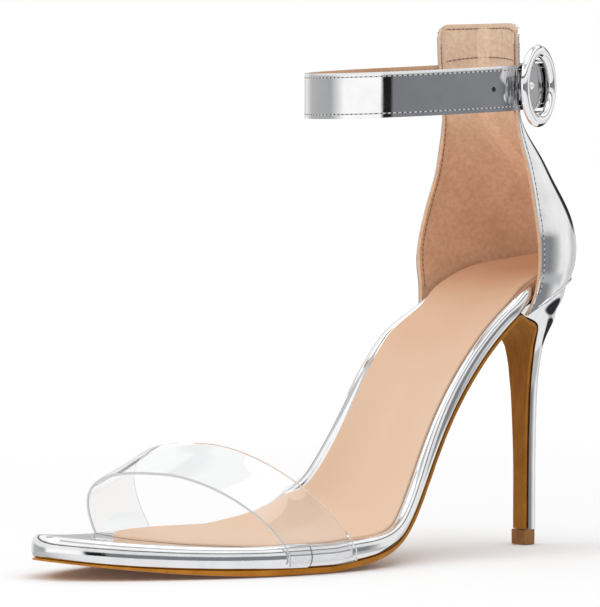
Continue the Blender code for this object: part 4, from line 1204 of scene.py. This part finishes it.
def long_outsole():
    """The brown outsole and its flap as one strip: a rounded cross-section carried along the path from
    the toe under the foot and down the heel's breast."""
    path, outer, inner, thick = outsole_path()
    run = lengths_along(path)
    dense = np.interp(np.linspace(0, len(run) - 1, 320), np.arange(len(run)), run)
    fine = np.stack([spline(run, v)(dense) for v in path.T], -1)
    outer, inner, thick = (np.interp(dense, run, v) for v in (outer, inner, thick))
    inward = square_to(heading(fine))
    under = fine[:, 0] > HEEL_BREAST + 3 * MM
    thick = np.where(fine[:, 0] > 60 * MM, brown_thickness(fine[:, 0]), thick)
    breast = dense > len(run) - 17
    thick = thick + np.where(breast, BREAST_THICKER, 0)
    toward_toe = 1 - ease((LENGTH - fine[:, 0]) / (60 * MM))
    slim = np.where(under, OUTSOLE_INSET + 0.5 * MM * toward_toe, 0.55 * MM)
    slim = np.minimum(slim, (outer - inner) * 0.3)
    shares = np.linspace(0, 1, 29)
    across = [(0.0, 0.45, 0.5), (0.0, 0.15, 0.12)] + [(s, 0.0, 0.0) for s in shares[1:-1]]
    across += [(1.0, 0.15, 0.12), (1.0, 0.45, 0.5), (1.0, 0.3, 0.95)]
    across += [(s, 0.0, 1.0) for s in shares[-2:0:-1]] + [(0.0, 0.3, 0.95)]
    rows = []
    for share, reach, level in across:
        x = blend(outer - slim, inner + slim, share)
        x = x - np.sign(share - 0.5) * (reach - 0.3) * MM * np.where(under, 1, 0.3)
        lift = np.where(under, arch(x, fine[:, 0]), 0)
        point = fine + inward * (level * thick + lift)[:, None]
        rows.append(np.stack([x, -point[:, 0], point[:, 1]], -1))
    return loft("long_outsole", np.stack(rows, 1), BROWN, ("outsole",), sharp=50)


def heel_wall(name, turns, levels, low, high, material, replaces, forward=0.0):
    """Stacked heel sections from low to high, closed across the breast and at both ends."""
    z = blend(low, high, levels[:, None])
    x, station = heel_point(turns[None], z, forward)
    return loft(name, np.stack([x, -station, z], -1), material, replaces, sharp=38)


def covered_heel():
    turns = np.linspace(0, np.pi, 96)
    top = heel_top(turns)
    levels = np.concatenate([np.linspace(0, 0.7, 40), np.linspace(0.71, 1.0, 50)])
    return heel_wall("covered_heel", turns, levels, np.full_like(turns, LIFT_HEIGHT + 0.12 * MM), top,
                     SILVER_SMOOTH, ("heel",))


def heel_lift():
    turns = np.linspace(0, np.pi, 60)
    levels = np.array([0.0, 0.05, 0.5, 0.96, 1.0])
    top = np.full_like(turns, LIFT_HEIGHT)
    return heel_wall("heel_lift", turns, levels, np.zeros_like(turns), top, LIFT,
                     ("top_lift",), FLAP)


# The counter

SKIN = 0.55 * MM
TAB_ROUND = 5.0 * MM
TAB_OUTER_ROUND = 11.0 * MM
TAB_DRAW = 3.6 * MM
TAB_DRAW_FROM = 150 * MM
TAB_DRAW_OVER = 28 * MM
FOOT_LAP = 0.3 * MM
CORNER_LAP = 4.1 * MM
CLIMB_BEFORE = 7 * MM
CLIMB_OVER = 9 * MM
TUCK = 0.45 * MM
TUCK_OVER = 9 * MM
FRONT_INSET = 1.9 * MM
OUTSIDE_INSET = 1.7 * MM
TAPE_RISE = 0.22 * MM
TAPE_SINK = 0.1 * MM
THREAD_SINK = 0.02 * MM
ROLL_RADIUS = 0.6 * MM
COUNTER_AXIS = np.array([0, -TAB_FRONT, 0])


def wall_foot(turns):
    """The visible wall laps over its seam with the heel: the foot less a drop that grows with the eighth
    power of the angle's cosine toward the outer front corner; past the heel's breast it climbs with the
    arch."""
    foot = counter_foot(turns)
    x, station = counter_point(turns, foot)
    climb = arch(x, station) * ease((station - HEEL_BREAST + CLIMB_BEFORE) / CLIMB_OVER)
    return foot + climb - FOOT_LAP - CORNER_LAP * np.cos(turns).clip(0) ** 8


def wall_point(turn, z):
    """The counter's wall as it shows: its outer front edge draws back as it climbs into the tab."""
    x, station = counter_point(turn, z)
    back = TAB_DRAW * ease((z - TAB_DRAW_FROM) / TAB_DRAW_OVER) * np.where(np.cos(turn) > 0, 1, 0)
    return x, station - back * (1 - np.abs(np.sin(turn)) ** (2 / SEAT_ROUNDNESS))


def counter_grid(turns, levels):
    """Points of the counter's outside over the angle and the share of its height."""
    z = blend(wall_foot(turns), crown(turns), levels[:, None])
    x, station = wall_point(turns[None], z)
    grid = np.stack([x, -station, z], -1).swapaxes(0, 1)
    tuck = TUCK * ease(1 - (z - wall_foot(turns)) / TUCK_OVER).T * np.sin(turns)[:, None] ** 2
    return grid + inward_normals(grid) * tuck[..., None]


def inward_normals(grid):
    normal = normals_of(grid)
    outward = np.einsum("ijk,ijk->", normal, (grid - COUNTER_AXIS) * (1, 1, 0)) > 0
    return -normal if outward else normal


def crown(turns):
    """Height of the counter's top: level, less a quarter ellipse at each front corner by how far along the
    top edge a point lies from it; the outer corner's is the longer."""
    fine = np.linspace(0, np.pi, 2001)
    line = np.stack(wall_point(fine, np.full_like(fine, TAB_TOP)), -1)
    size = lengths_along(line)
    drop = sum(TAB_ROUND * (1 - np.sqrt(1 - np.clip(1 - reach / length, 0, 1) ** 2))
               for reach, length in ((size, TAB_OUTER_ROUND), (size[-1] - size, TAB_ROUND)))
    return TAB_TOP - np.interp(turns, fine, drop)


def counter_pieces():
    """The counter: a thin mirror outside, the thicker lining inside it, the tape down the back, and the sewn
    rows."""
    turns = (1 - np.cos(np.linspace(0, np.pi, 180))) / 2 * np.pi
    levels = 1 - (1 - np.linspace(0, 1, 150)) ** 1.4
    outside = counter_grid(turns, levels)
    inward = inward_normals(outside)
    skin, wall = outside + inward * SKIN, outside + inward * COUNTER_WALL
    shell("counter_leather", outside, skin, SILVER_COUNTER, ("counter",))
    uv = uv_grid(turns / np.pi, levels)
    trim = slice(2, -2), slice(0, -1)
    shell("counter_lining", skin[trim], wall[trim], LINING, uv=uv[trim], sharp=75)

    tape_turns = np.radians(90 + np.linspace(-9, 9, 13))
    tape = counter_grid(tape_turns, np.linspace(0.05, 0.985, 90))
    tape_in = inward_normals(tape)
    lift = COUNTER_WALL + TAPE_RISE * (1 - np.abs(np.linspace(-1, 1, 13)) ** 4)[:, None, None]
    shell("back_tape", tape + tape_in * (COUNTER_WALL - TAPE_SINK), tape + tape_in * lift, TAPE)

    def sewn_row(name, turn, level, outside=False):
        """Stitches along a line of (angle, height share), on the lining or on the outside."""
        z = blend(wall_foot(turn), crown(turn), level)
        lines = [np.stack(wall_point(turn + a, z + b), -1) * (1, -1)
                 for a, b in ((0, 0), (1e-3, 0), (0, 1e-5))]
        line, sideways, upward = (np.column_stack([v, z + b]) for v, b in zip(lines, (0, 0, 1e-5)))
        normal = unit(np.cross(sideways - line, upward - line))
        normal *= -np.sign(np.sum(normal * (line - COUNTER_AXIS) * (1, 1, 0), 1))[:, None]
        if outside:
            seam(name, line - normal * THREAD_SINK, -normal, STITCH_STEP, GREY_THREAD, PIERCING_SHADE_DARK)
        else:
            seam(name, line + normal * (COUNTER_WALL + 0.1 * MM), normal, STITCH_STEP, BROWN_THREAD,
                 PIERCING_SHADE_BROWN)

    climb = np.linspace(0.06, 0.972, 160)
    for row, distance, outside in (("front", FRONT_INSET, False), ("outside", OUTSIDE_INSET, True)):
        for side, sign in (("outer", 1), ("inner", -1)):
            sewn_row(f"{row}_stitches_{side}", edge_turn(climb, distance, sign), climb, outside)
    across = np.linspace(np.radians(14), np.radians(166), 160)
    foot, top = wall_foot(across), crown(across)
    sewn_row("top_stitches", across, (top - FRONT_INSET - foot) / (top - foot))
    z = loop_height(TAB_FRONT) + STRAP_WIDTH / 2 + (1.2 + 1.6 * np.sin(across) ** 2) * MM
    sewn_row("seam_stitches", across, (z - foot) / (top - foot))


def foot_roll():
    """The turned edge along the counter's foot, over the heel's neck, and the shaded line above it:
    two rods that follow the wall's foot."""
    turns = np.linspace(np.radians(5), np.radians(175), 200)
    wall = counter_grid(turns, np.array([0.0, 0.006, 0.012, 0.016]))
    inward = inward_normals(wall)
    thin = np.clip(np.sin(turns) * 6, 0.3, 1)
    rod("counter_foot_roll", wall[:, 1] + inward[:, 1] * 0.15 * MM, ROLL_RADIUS * thin, 14, SILVER_SMOOTH)
    rod("counter_foot_line", wall[:, 2] + inward[:, 2] * 0.06 * MM, 0.17 * MM, 8, CREASE_SHADE)


def edge_turn(levels, distance, side):
    """The angle at which the counter's wall is a distance in from its front edge."""
    turns = np.linspace(0, 0.9, 200) if side > 0 else np.pi - np.linspace(0, 0.9, 200)
    grid = counter_grid(turns, levels)
    steps = np.linalg.norm(np.diff(grid, axis=0), axis=2)
    size = np.concatenate([np.zeros((1, len(levels))), np.cumsum(steps, 0)])
    nearest = np.argmin(np.abs(size - distance), axis=0)
    return turns[nearest]


# The ankle strap

STRAP_INSET = 1.6 * MM
STRAP_SWELL = 0.10 * MM
LINING_SWELL = -0.3 * MM


def strap_line(count):
    """The strap's middle in plan: behind the bar, round the tab's back, the far side and the front, and
    out through the ring; its left-hand normal points away from the ankle."""
    behind = in_ring(np.array(STRAP_BEHIND), -INNER_LAYER, 0.0)
    through = in_ring(np.array([*STRAP_THROUGH, STRAP_END]), -OUTER_LAYER, 0.0)
    run = [(across * LOOP_HALF_WIDTH, -blend(TAB_FRONT - TAB_DEPTH, LOOP_FRONT, forward))
           for across, forward in LOOP_RUN]
    plan = np.concatenate([behind[:, :2], round_tab(), np.array(run), through[:, :2]])
    chord = lengths_along(plan)
    t = np.linspace(0, chord[-1], count)
    line = np.stack([spline(chord, plan[:, 0])(t), spline(chord, plan[:, 1])(t)], -1)
    return line, square_to(heading(line)), t


def ankle_strap_pieces():
    """The strap as two layers, mirror leather outside and lining inside; across it the outside swells
    by one minus the sixth power, so its edges roll over."""
    line, side, run = strap_line(420)
    share = np.linspace(-1, 1, 25)
    z = loop_height(-line[:, 1])[:, None] + share * STRAP_WIDTH / 2
    join = STRAP_THICKNESS * -0.08

    def layer(depth, swell):
        offset = depth - swell * np.abs(share) ** 12
        plan = line[:, None] + side[:, None] * offset[None, :, None]
        return np.concatenate([plan, z[..., None]], -1)

    uv = uv_grid(run / UV_SPAN, share * STRAP_WIDTH / (2 * UV_SPAN) + 0.5)
    between = layer(join, 0.0)
    shell("strap_leather", layer(STRAP_THICKNESS / 2, STRAP_SWELL), between, SILVER_STRAP,
          ("ankle_strap",), uv=uv)
    shell("strap_lining", between, layer(-STRAP_THICKNESS / 2, LINING_SWELL), STRAP_LINING,
          uv=uv)

    for layer_name, depth, thread, pit, slot in (
            ("strap", 1, GREY_THREAD, PIERCING_SHADE_DARK, "mirror_leather"),
            ("lining", -1, BROWN_THREAD, PIERCING_SHADE_BROWN, "sock_leather")):
        for level_name, level in (("top", 1), ("low", -1)):
            height = loop_height(-line[:, 1]) + level * (STRAP_WIDTH / 2 - STRAP_INSET)
            path = np.column_stack([line + side * depth * STRAP_THICKNESS / 2, height])
            facing = np.column_stack([side * depth, np.zeros(len(side))])
            seam(f"{layer_name}_stitches_{level_name}", path, facing, STITCH_STEP, thread, pit)

    for name, back in (("punched_hole", 40.0), ("end_hole", 4.0)):
        at = np.argmin(np.abs(run[-1] - run - back * MM))
        punched_hole(name, np.append(line[at] + side[at] * STRAP_THICKNESS / 2, loop_height(-line[at, 1])),
                     np.append(side[at], 0))


def circles(count, first, second):
    """Points of a unit circle in the plane of two directions."""
    angles = round_angles(count)[:, None]
    return np.cos(angles) * first + np.sin(angles) * second


def punched_hole(name, centre, facing):
    """A punched hole as a pressed rim round its bottom, all in near-black painted shade: radius against
    height turned round its axis.
    """
    profile = np.array([(0.95, -0.3), (0.95, 0.02), (0.85, 0.07), (0.7, 0.05), (0.55, 0.03), (0.3, 0.02),
                        (0.05, 0.02)]) * MM
    circle = circles(28, np.cross(UP, facing), UP)
    rings = centre + profile[:, :1, None] * circle + profile[:, 1:, None] * facing
    loft(name, rings, HOLE_SHADE)


# The buckle

RING_DOME = 2.0 * MM
BALL_SIZE = 1.8
BALL_FROM_SHARE = 0.9
PRONG_THROUGH = -6.0 * MM


def rod(name, route, radii, sides, material, replaces=()):
    """A round rod along a route: circles square to it, turned by one fixed guide, with a radius each."""
    route = np.asarray(route, float)
    along = heading(route)
    first = unit(np.cross(RING_ALONG if np.abs(along @ RING_ALONG).max() < 0.9 else UP, along))
    circle = circles(sides, first[:, None], np.cross(along, first)[:, None])
    rings = route[:, None] + circle * np.broadcast_to(radii, len(route))[:, None, None]
    return loft(name, rings, material, replaces)


def smooth_route(points, count):
    """A rounded route through points, by repeated corner cutting, at even steps."""
    points = np.asarray(points, float)
    for _ in range(3):
        cut = np.stack([blend(points[:-1], points[1:], share) for share in (0.25, 0.75)], 1)
        points = np.concatenate([points[:1], cut.reshape(-1, points.shape[1]), points[-1:]])
    size = lengths_along(points)
    return points_at(np.linspace(0, size[-1], count), size, points)


def buckle_pieces():
    """A domed ring, whose section is a squared circle, its bar bent back behind the strap, and the prong
    that comes up through the strap and ends in a small ball on the ring."""
    angles, turn = round_angles(120), round_angles(28)
    radius = (RING_DIAMETER - RING_BAND) / 2 + 0.25 * MM + RING_BAND / 2 * signed_power(np.cos(turn), 0.95)
    depth = np.where(np.sin(turn) > 0, RING_DOME, RING_THICKNESS / 2) * np.sin(turn)
    grid = in_ring(radius * np.cos(angles)[:, None], depth, radius * np.sin(angles)[:, None])
    loft("round_ring", grid, CHROME, ("buckle_ring",), ring=True, sharp=80)
    reach = STRAP_WIDTH / 2 + BAR_ROOM + BAR_DIAMETER / 2
    corner = np.array([(0.3 * MM, reach), (-BAR_DEPTH, reach), (-BAR_DEPTH, -reach), (0.3 * MM, -reach)])
    sides = blend(corner[:-1, None], corner[1:, None], np.linspace(0, 1, 6)[:-1, None]).reshape(-1, 2)
    line = smooth_route(np.concatenate([sides, corner[-1:]]), 70)
    rod("bar_behind", in_ring(BAR_BACK, line[:, 0], line[:, 1]), BAR_DIAMETER / 2, 16, CHROME)
    back = BAR_BACK - 1.6 * MM
    t = np.array([back, 0.3 * back, PRONG_THROUGH + 2 * MM, PRONG_THROUGH, PRONG_THROUGH,
                  PRONG_THROUGH - 0.2 * MM, PRONG_THROUGH - 1.2 * MM])
    n = np.array([-BAR_DEPTH, -BAR_DEPTH, -BAR_DEPTH, -BAR_DEPTH + 0.4 * MM, -OUTER_LAYER, -0.3 * MM,
                  1.2 * MM])
    line = smooth_route(np.stack([t, n], -1), 90)
    size = np.linspace(0, 1, 90)
    ball = np.sqrt(np.clip(1 - ((size - BALL_FROM_SHARE) / 0.10) ** 2, 0, 1)) * BALL_SIZE
    shaft = np.where(size < BALL_FROM_SHARE, blend(0.9, 0.8, size), 0)
    end = np.sqrt(np.clip(size / 0.02, 0.02, 1))
    radii = PRONG_DIAMETER / 2 * np.maximum(np.maximum(ball, shaft) * end, 0.05)
    rod("prong_pin", in_ring(line[:, 0], line[:, 1], 0.0), radii, 20, CHROME,
        ("buckle_prong",))


# The clear strap

SHEET = 0.9 * MM
EDGE_SHARE = 0.010


def clear_strap_pieces():
    """The clear band over the toes, and the paler cut edges along its front and rear."""
    turns = np.linspace(0, np.pi, 130)
    shares = np.linspace(0, 1, 60)

    def sheet_grid(shares):
        """The band's middle surface with its ends dropped straight onto the outsole."""
        arched = np.stack([vamp_point(turns, np.full_like(turns, share)) for share in shares], 1)
        ends = []
        for row, first, last in ((0, VAMP_OUTER_FRONT, VAMP_OUTER_REAR),
                                 (-1, VAMP_INNER_FRONT, VAMP_INNER_REAR)):
            stations = blend(first, last, shares)
            low = underside(stations) + outsole_thickness(stations) + GAP
            foot = np.repeat(arched[row][None], 4, 0)
            foot[..., 2] = blend(low, arched[row][:, 2], np.array([0.0, 0.25, 0.5, 0.75])[:, None])
            ends.append(foot)
        grid = np.concatenate([ends[0], arched, ends[1][::-1]])
        normal = normals_of(grid)
        if normal[len(grid) // 2, len(shares) // 2, 2] < 0:
            normal = -normal
        return grid, normal

    grid, normal = sheet_grid(blend(EDGE_SHARE, 1 - EDGE_SHARE, shares))
    item = shell("clear_band", grid + normal * SHEET / 2, grid - normal * SHEET / 2, CLEAR,
                 ("vamp_strap",), sharp=60)
    item.visible_shadow = False
    full, facing = sheet_grid(np.array([0.0, EDGE_SHARE * 0.9, 1 - EDGE_SHARE * 0.9, 1.0]))
    for name, a, b in (("clear_edge_front", 0, 1), ("clear_edge_rear", 3, 2)):
        width, up = full[:, b] - full[:, a], facing[:, a]
        turn = round_angles(12)
        aside = 0.5 + 0.5 * signed_power(np.cos(turn), 0.6)
        above = SHEET / 2 * signed_power(np.sin(turn), 0.6)
        section = (full[:, None, a] + width[:, None] * aside[None, :, None]
                   + up[:, None] * above[None, :, None])
        strip = loft(name, section, CLEAR_EDGE, sharp=60)
        strip.visible_shadow = False


# The camera and the room. The focal length and the photograph's height are in pixels, the distance in mm
camera_a, camera_e, camera_roll = np.radians((49.93, 2.15, 0.14))
CAMERA_AWAY, CAMERA_FOCAL, PHOTO_HEIGHT = 1600.0, 4355.0, 607
DARK, BRIGHT = (0.03, 0.03, 0.035), (1.1, 1.1, 1.1)


def camera():
    """The photograph's camera, fitted to it: far off, low, and turned about fifty degrees from the toe."""
    back = np.array([np.sin(camera_a) * np.cos(camera_e), -np.cos(camera_a) * np.cos(camera_e),
                     np.sin(camera_e)])
    right = np.array([np.cos(camera_a), np.sin(camera_a), 0.0])
    up = np.cross(back, right)
    turned = right * np.cos(camera_roll) + up * np.sin(camera_roll)
    upright = -right * np.sin(camera_roll) + up * np.cos(camera_roll)
    aim = np.array([-0.1, 18.63, 90.0]) - 20.8 * right + 3.33 * up
    place_at = (aim + CAMERA_AWAY * back) * MM
    data = bpy.data.cameras.new("photo camera")
    data.lens = CAMERA_FOCAL * data.sensor_width / PHOTO_HEIGHT
    data.clip_end = 30
    item = bpy.data.objects.new("photo camera", data)
    axes = [np.append(axis, 0) for axis in (turned, upright, back)]
    item.matrix_world = Matrix(np.column_stack([*axes, np.append(place_at, 1)]).tolist())
    bpy.context.collection.objects.link(item)
    bpy.context.scene.camera = item


def studio():
    """A white studio as the mirror leather shows it: a pale floor, soft panels to the left and above, a dim
    grey room to the right of the camera, a dark belt, and two dark ovals, below and behind the shoe."""
    world = bpy.data.worlds.new("studio")
    bpy.context.scene.world = world
    world.use_nodes = True
    tree = world.node_tree
    tree.nodes.clear()
    room = Nodes(tree)
    direction = room.node("ShaderNodeTexCoord", output="Generated")
    toward = (np.sin(camera_a), -np.cos(camera_a), 0.0)
    leftward = (-np.cos(camera_a), -np.sin(camera_a), 0.0)
    ahead, left = (room.measure("DOT_PRODUCT", direction, way) for way in (toward, leftward))
    height = room.part(direction, "Z")
    angle = left.math("ARCTAN2", ahead) / (2 * np.pi) + 0.5
    walls = room.node("ShaderNodeValToRGB", {"stops": [
        (0.0, (0.5,) * 3), (0.03, (0.72,) * 3), (0.11, (0.62,) * 3), (0.15, (0.95,) * 3),
        (0.19, (0.9,) * 3), (0.215, (0.5,) * 3), (0.24, (0.25, 0.255, 0.265)), (0.487, (0.215, 0.22, 0.23)),
        (0.494, (0.015,) * 3), (0.520, (0.015,) * 3), (0.532, (1.1,) * 3), (0.70, (1.1,) * 3),
        (0.74, (0.42, 0.425, 0.43)),
        (0.86, (0.5, 0.505, 0.51)), (0.93, (0.9,) * 3), (1.0, (0.5,) * 3)]}, {0: angle})
    floors = room.node("ShaderNodeValToRGB", {"stops": [
        (0.0, (0.85,) * 3), (0.04, (0.9, 0.905, 0.91)), (0.55, (0.9, 0.905, 0.91)),
        (0.74, (0.55, 0.555, 0.56)), (0.93, (0.5, 0.505, 0.51)), (1.0, (0.85,) * 3)]}, {0: angle})

    def oval(middle_angle, middle_height, half_angle, half_height):
        away = ((angle - middle_angle) / half_angle) ** 2 + ((height - middle_height) / half_height) ** 2
        return 1 - away.ramp(0.55, 1.1)

    under = oval(0.075, -0.37, 0.062, 0.2)
    shade = (angle.ramp(0.14, 0.18) * (1 - angle.ramp(0.26, 0.29))
             * height.ramp(-0.42, -0.30) * (1 - height.ramp(-0.12, -0.07)))
    shaded = room.mix(shade * 0.8, floors, (0.42, 0.425, 0.43))
    floor_tone = room.mix(under, shaded, DARK)
    lower = room.mix(height.ramp(-0.21, -0.15), floor_tone, walls)
    belt = height.ramp(0.32, 0.35) * (1 - height.ramp(0.40, 0.45))
    raised = room.mix(height.ramp(0.05, 0.13) * 0.9, lower, (0.95, 0.95, 0.95))
    behind = oval(0.052, 0.16, 0.055, 0.14)
    flagged = room.mix(behind, raised, DARK)
    belted = room.mix(belt * 0.9, flagged, (0.06, 0.06, 0.065))
    zenith = room.mix(height.ramp(0.84, 0.90), (0.6, 0.605, 0.61), BRIGHT)
    sky = room.mix(height.ramp(0.66, 0.74), BRIGHT, zenith)
    lit = room.mix(height.ramp(0.42, 0.56), belted, sky)
    seen = room.node("ShaderNodeLightPath", output="Is Camera Ray")
    shown = room.mix(seen, lit, (1.0, 1.0, 1.0))
    background = tree.nodes.new("ShaderNodeBackground")
    tree.links.new(shown.socket, background.inputs["Color"])
    output = tree.nodes.new("ShaderNodeOutputWorld")
    tree.links.new(background.outputs["Background"], output.inputs["Surface"])

    bpy.context.scene.view_settings.view_transform = "Standard"
    for name, spot, aim, size, power in (("key", (-0.35, -0.9, 0.95), (0, 0, 0.06), 0.7, 2.6),
                                         ("top", (0.25, 0.1, 1.1), (0, 0, 0.05), 0.8, 1.6)):
        data = bpy.data.lights.new(name, "AREA")
        data.shape, data.size, data.energy = "DISK", size, power
        item = bpy.data.objects.new(name, data)
        item.location = spot
        item.rotation_euler = (Vector(aim) - Vector(spot)).to_track_quat("-Z", "Y").to_euler()
        bpy.context.collection.objects.link(item)

    # The floor glows with painted light: dim grey near the shoe, brightening from 0.15 m to 1.6 m away, so
    # the far floor matches the white background.
    finish = Finish("studio floor", Roughness=0.8, Base_Color=(0.93, 0.93, 0.93), Specular_IOR_Level=0.1,
                    Emission_Strength=0.3)
    far = finish.measure("LENGTH", finish.place())
    finish.feed("Emission Color", finish.mix(far.ramp(0.15, 1.6), (0.10, 0.10, 0.10), (1.0, 1.0, 1.0)))
    mesh = bpy.data.meshes.new("studio_floor")
    reach, low = 14.0, -0.2 * MM
    mesh.from_pydata([(-reach, -reach, low), (reach, -reach, low), (reach, reach, low), (-reach, reach, low)],
                     [], [(0, 1, 2, 3)])
    mesh.materials.append(finish.material)
    floor = bpy.data.objects.new("studio_floor", mesh)
    bpy.context.collection.objects.link(floor)
    floor.visible_glossy = False


for make in (wrapped_board, wrap_lap, strap_slot, laid_sock, long_outsole, covered_heel, heel_lift,
             counter_pieces, foot_roll, ankle_strap_pieces, buckle_pieces, clear_strap_pieces, studio,
             camera):
    make()
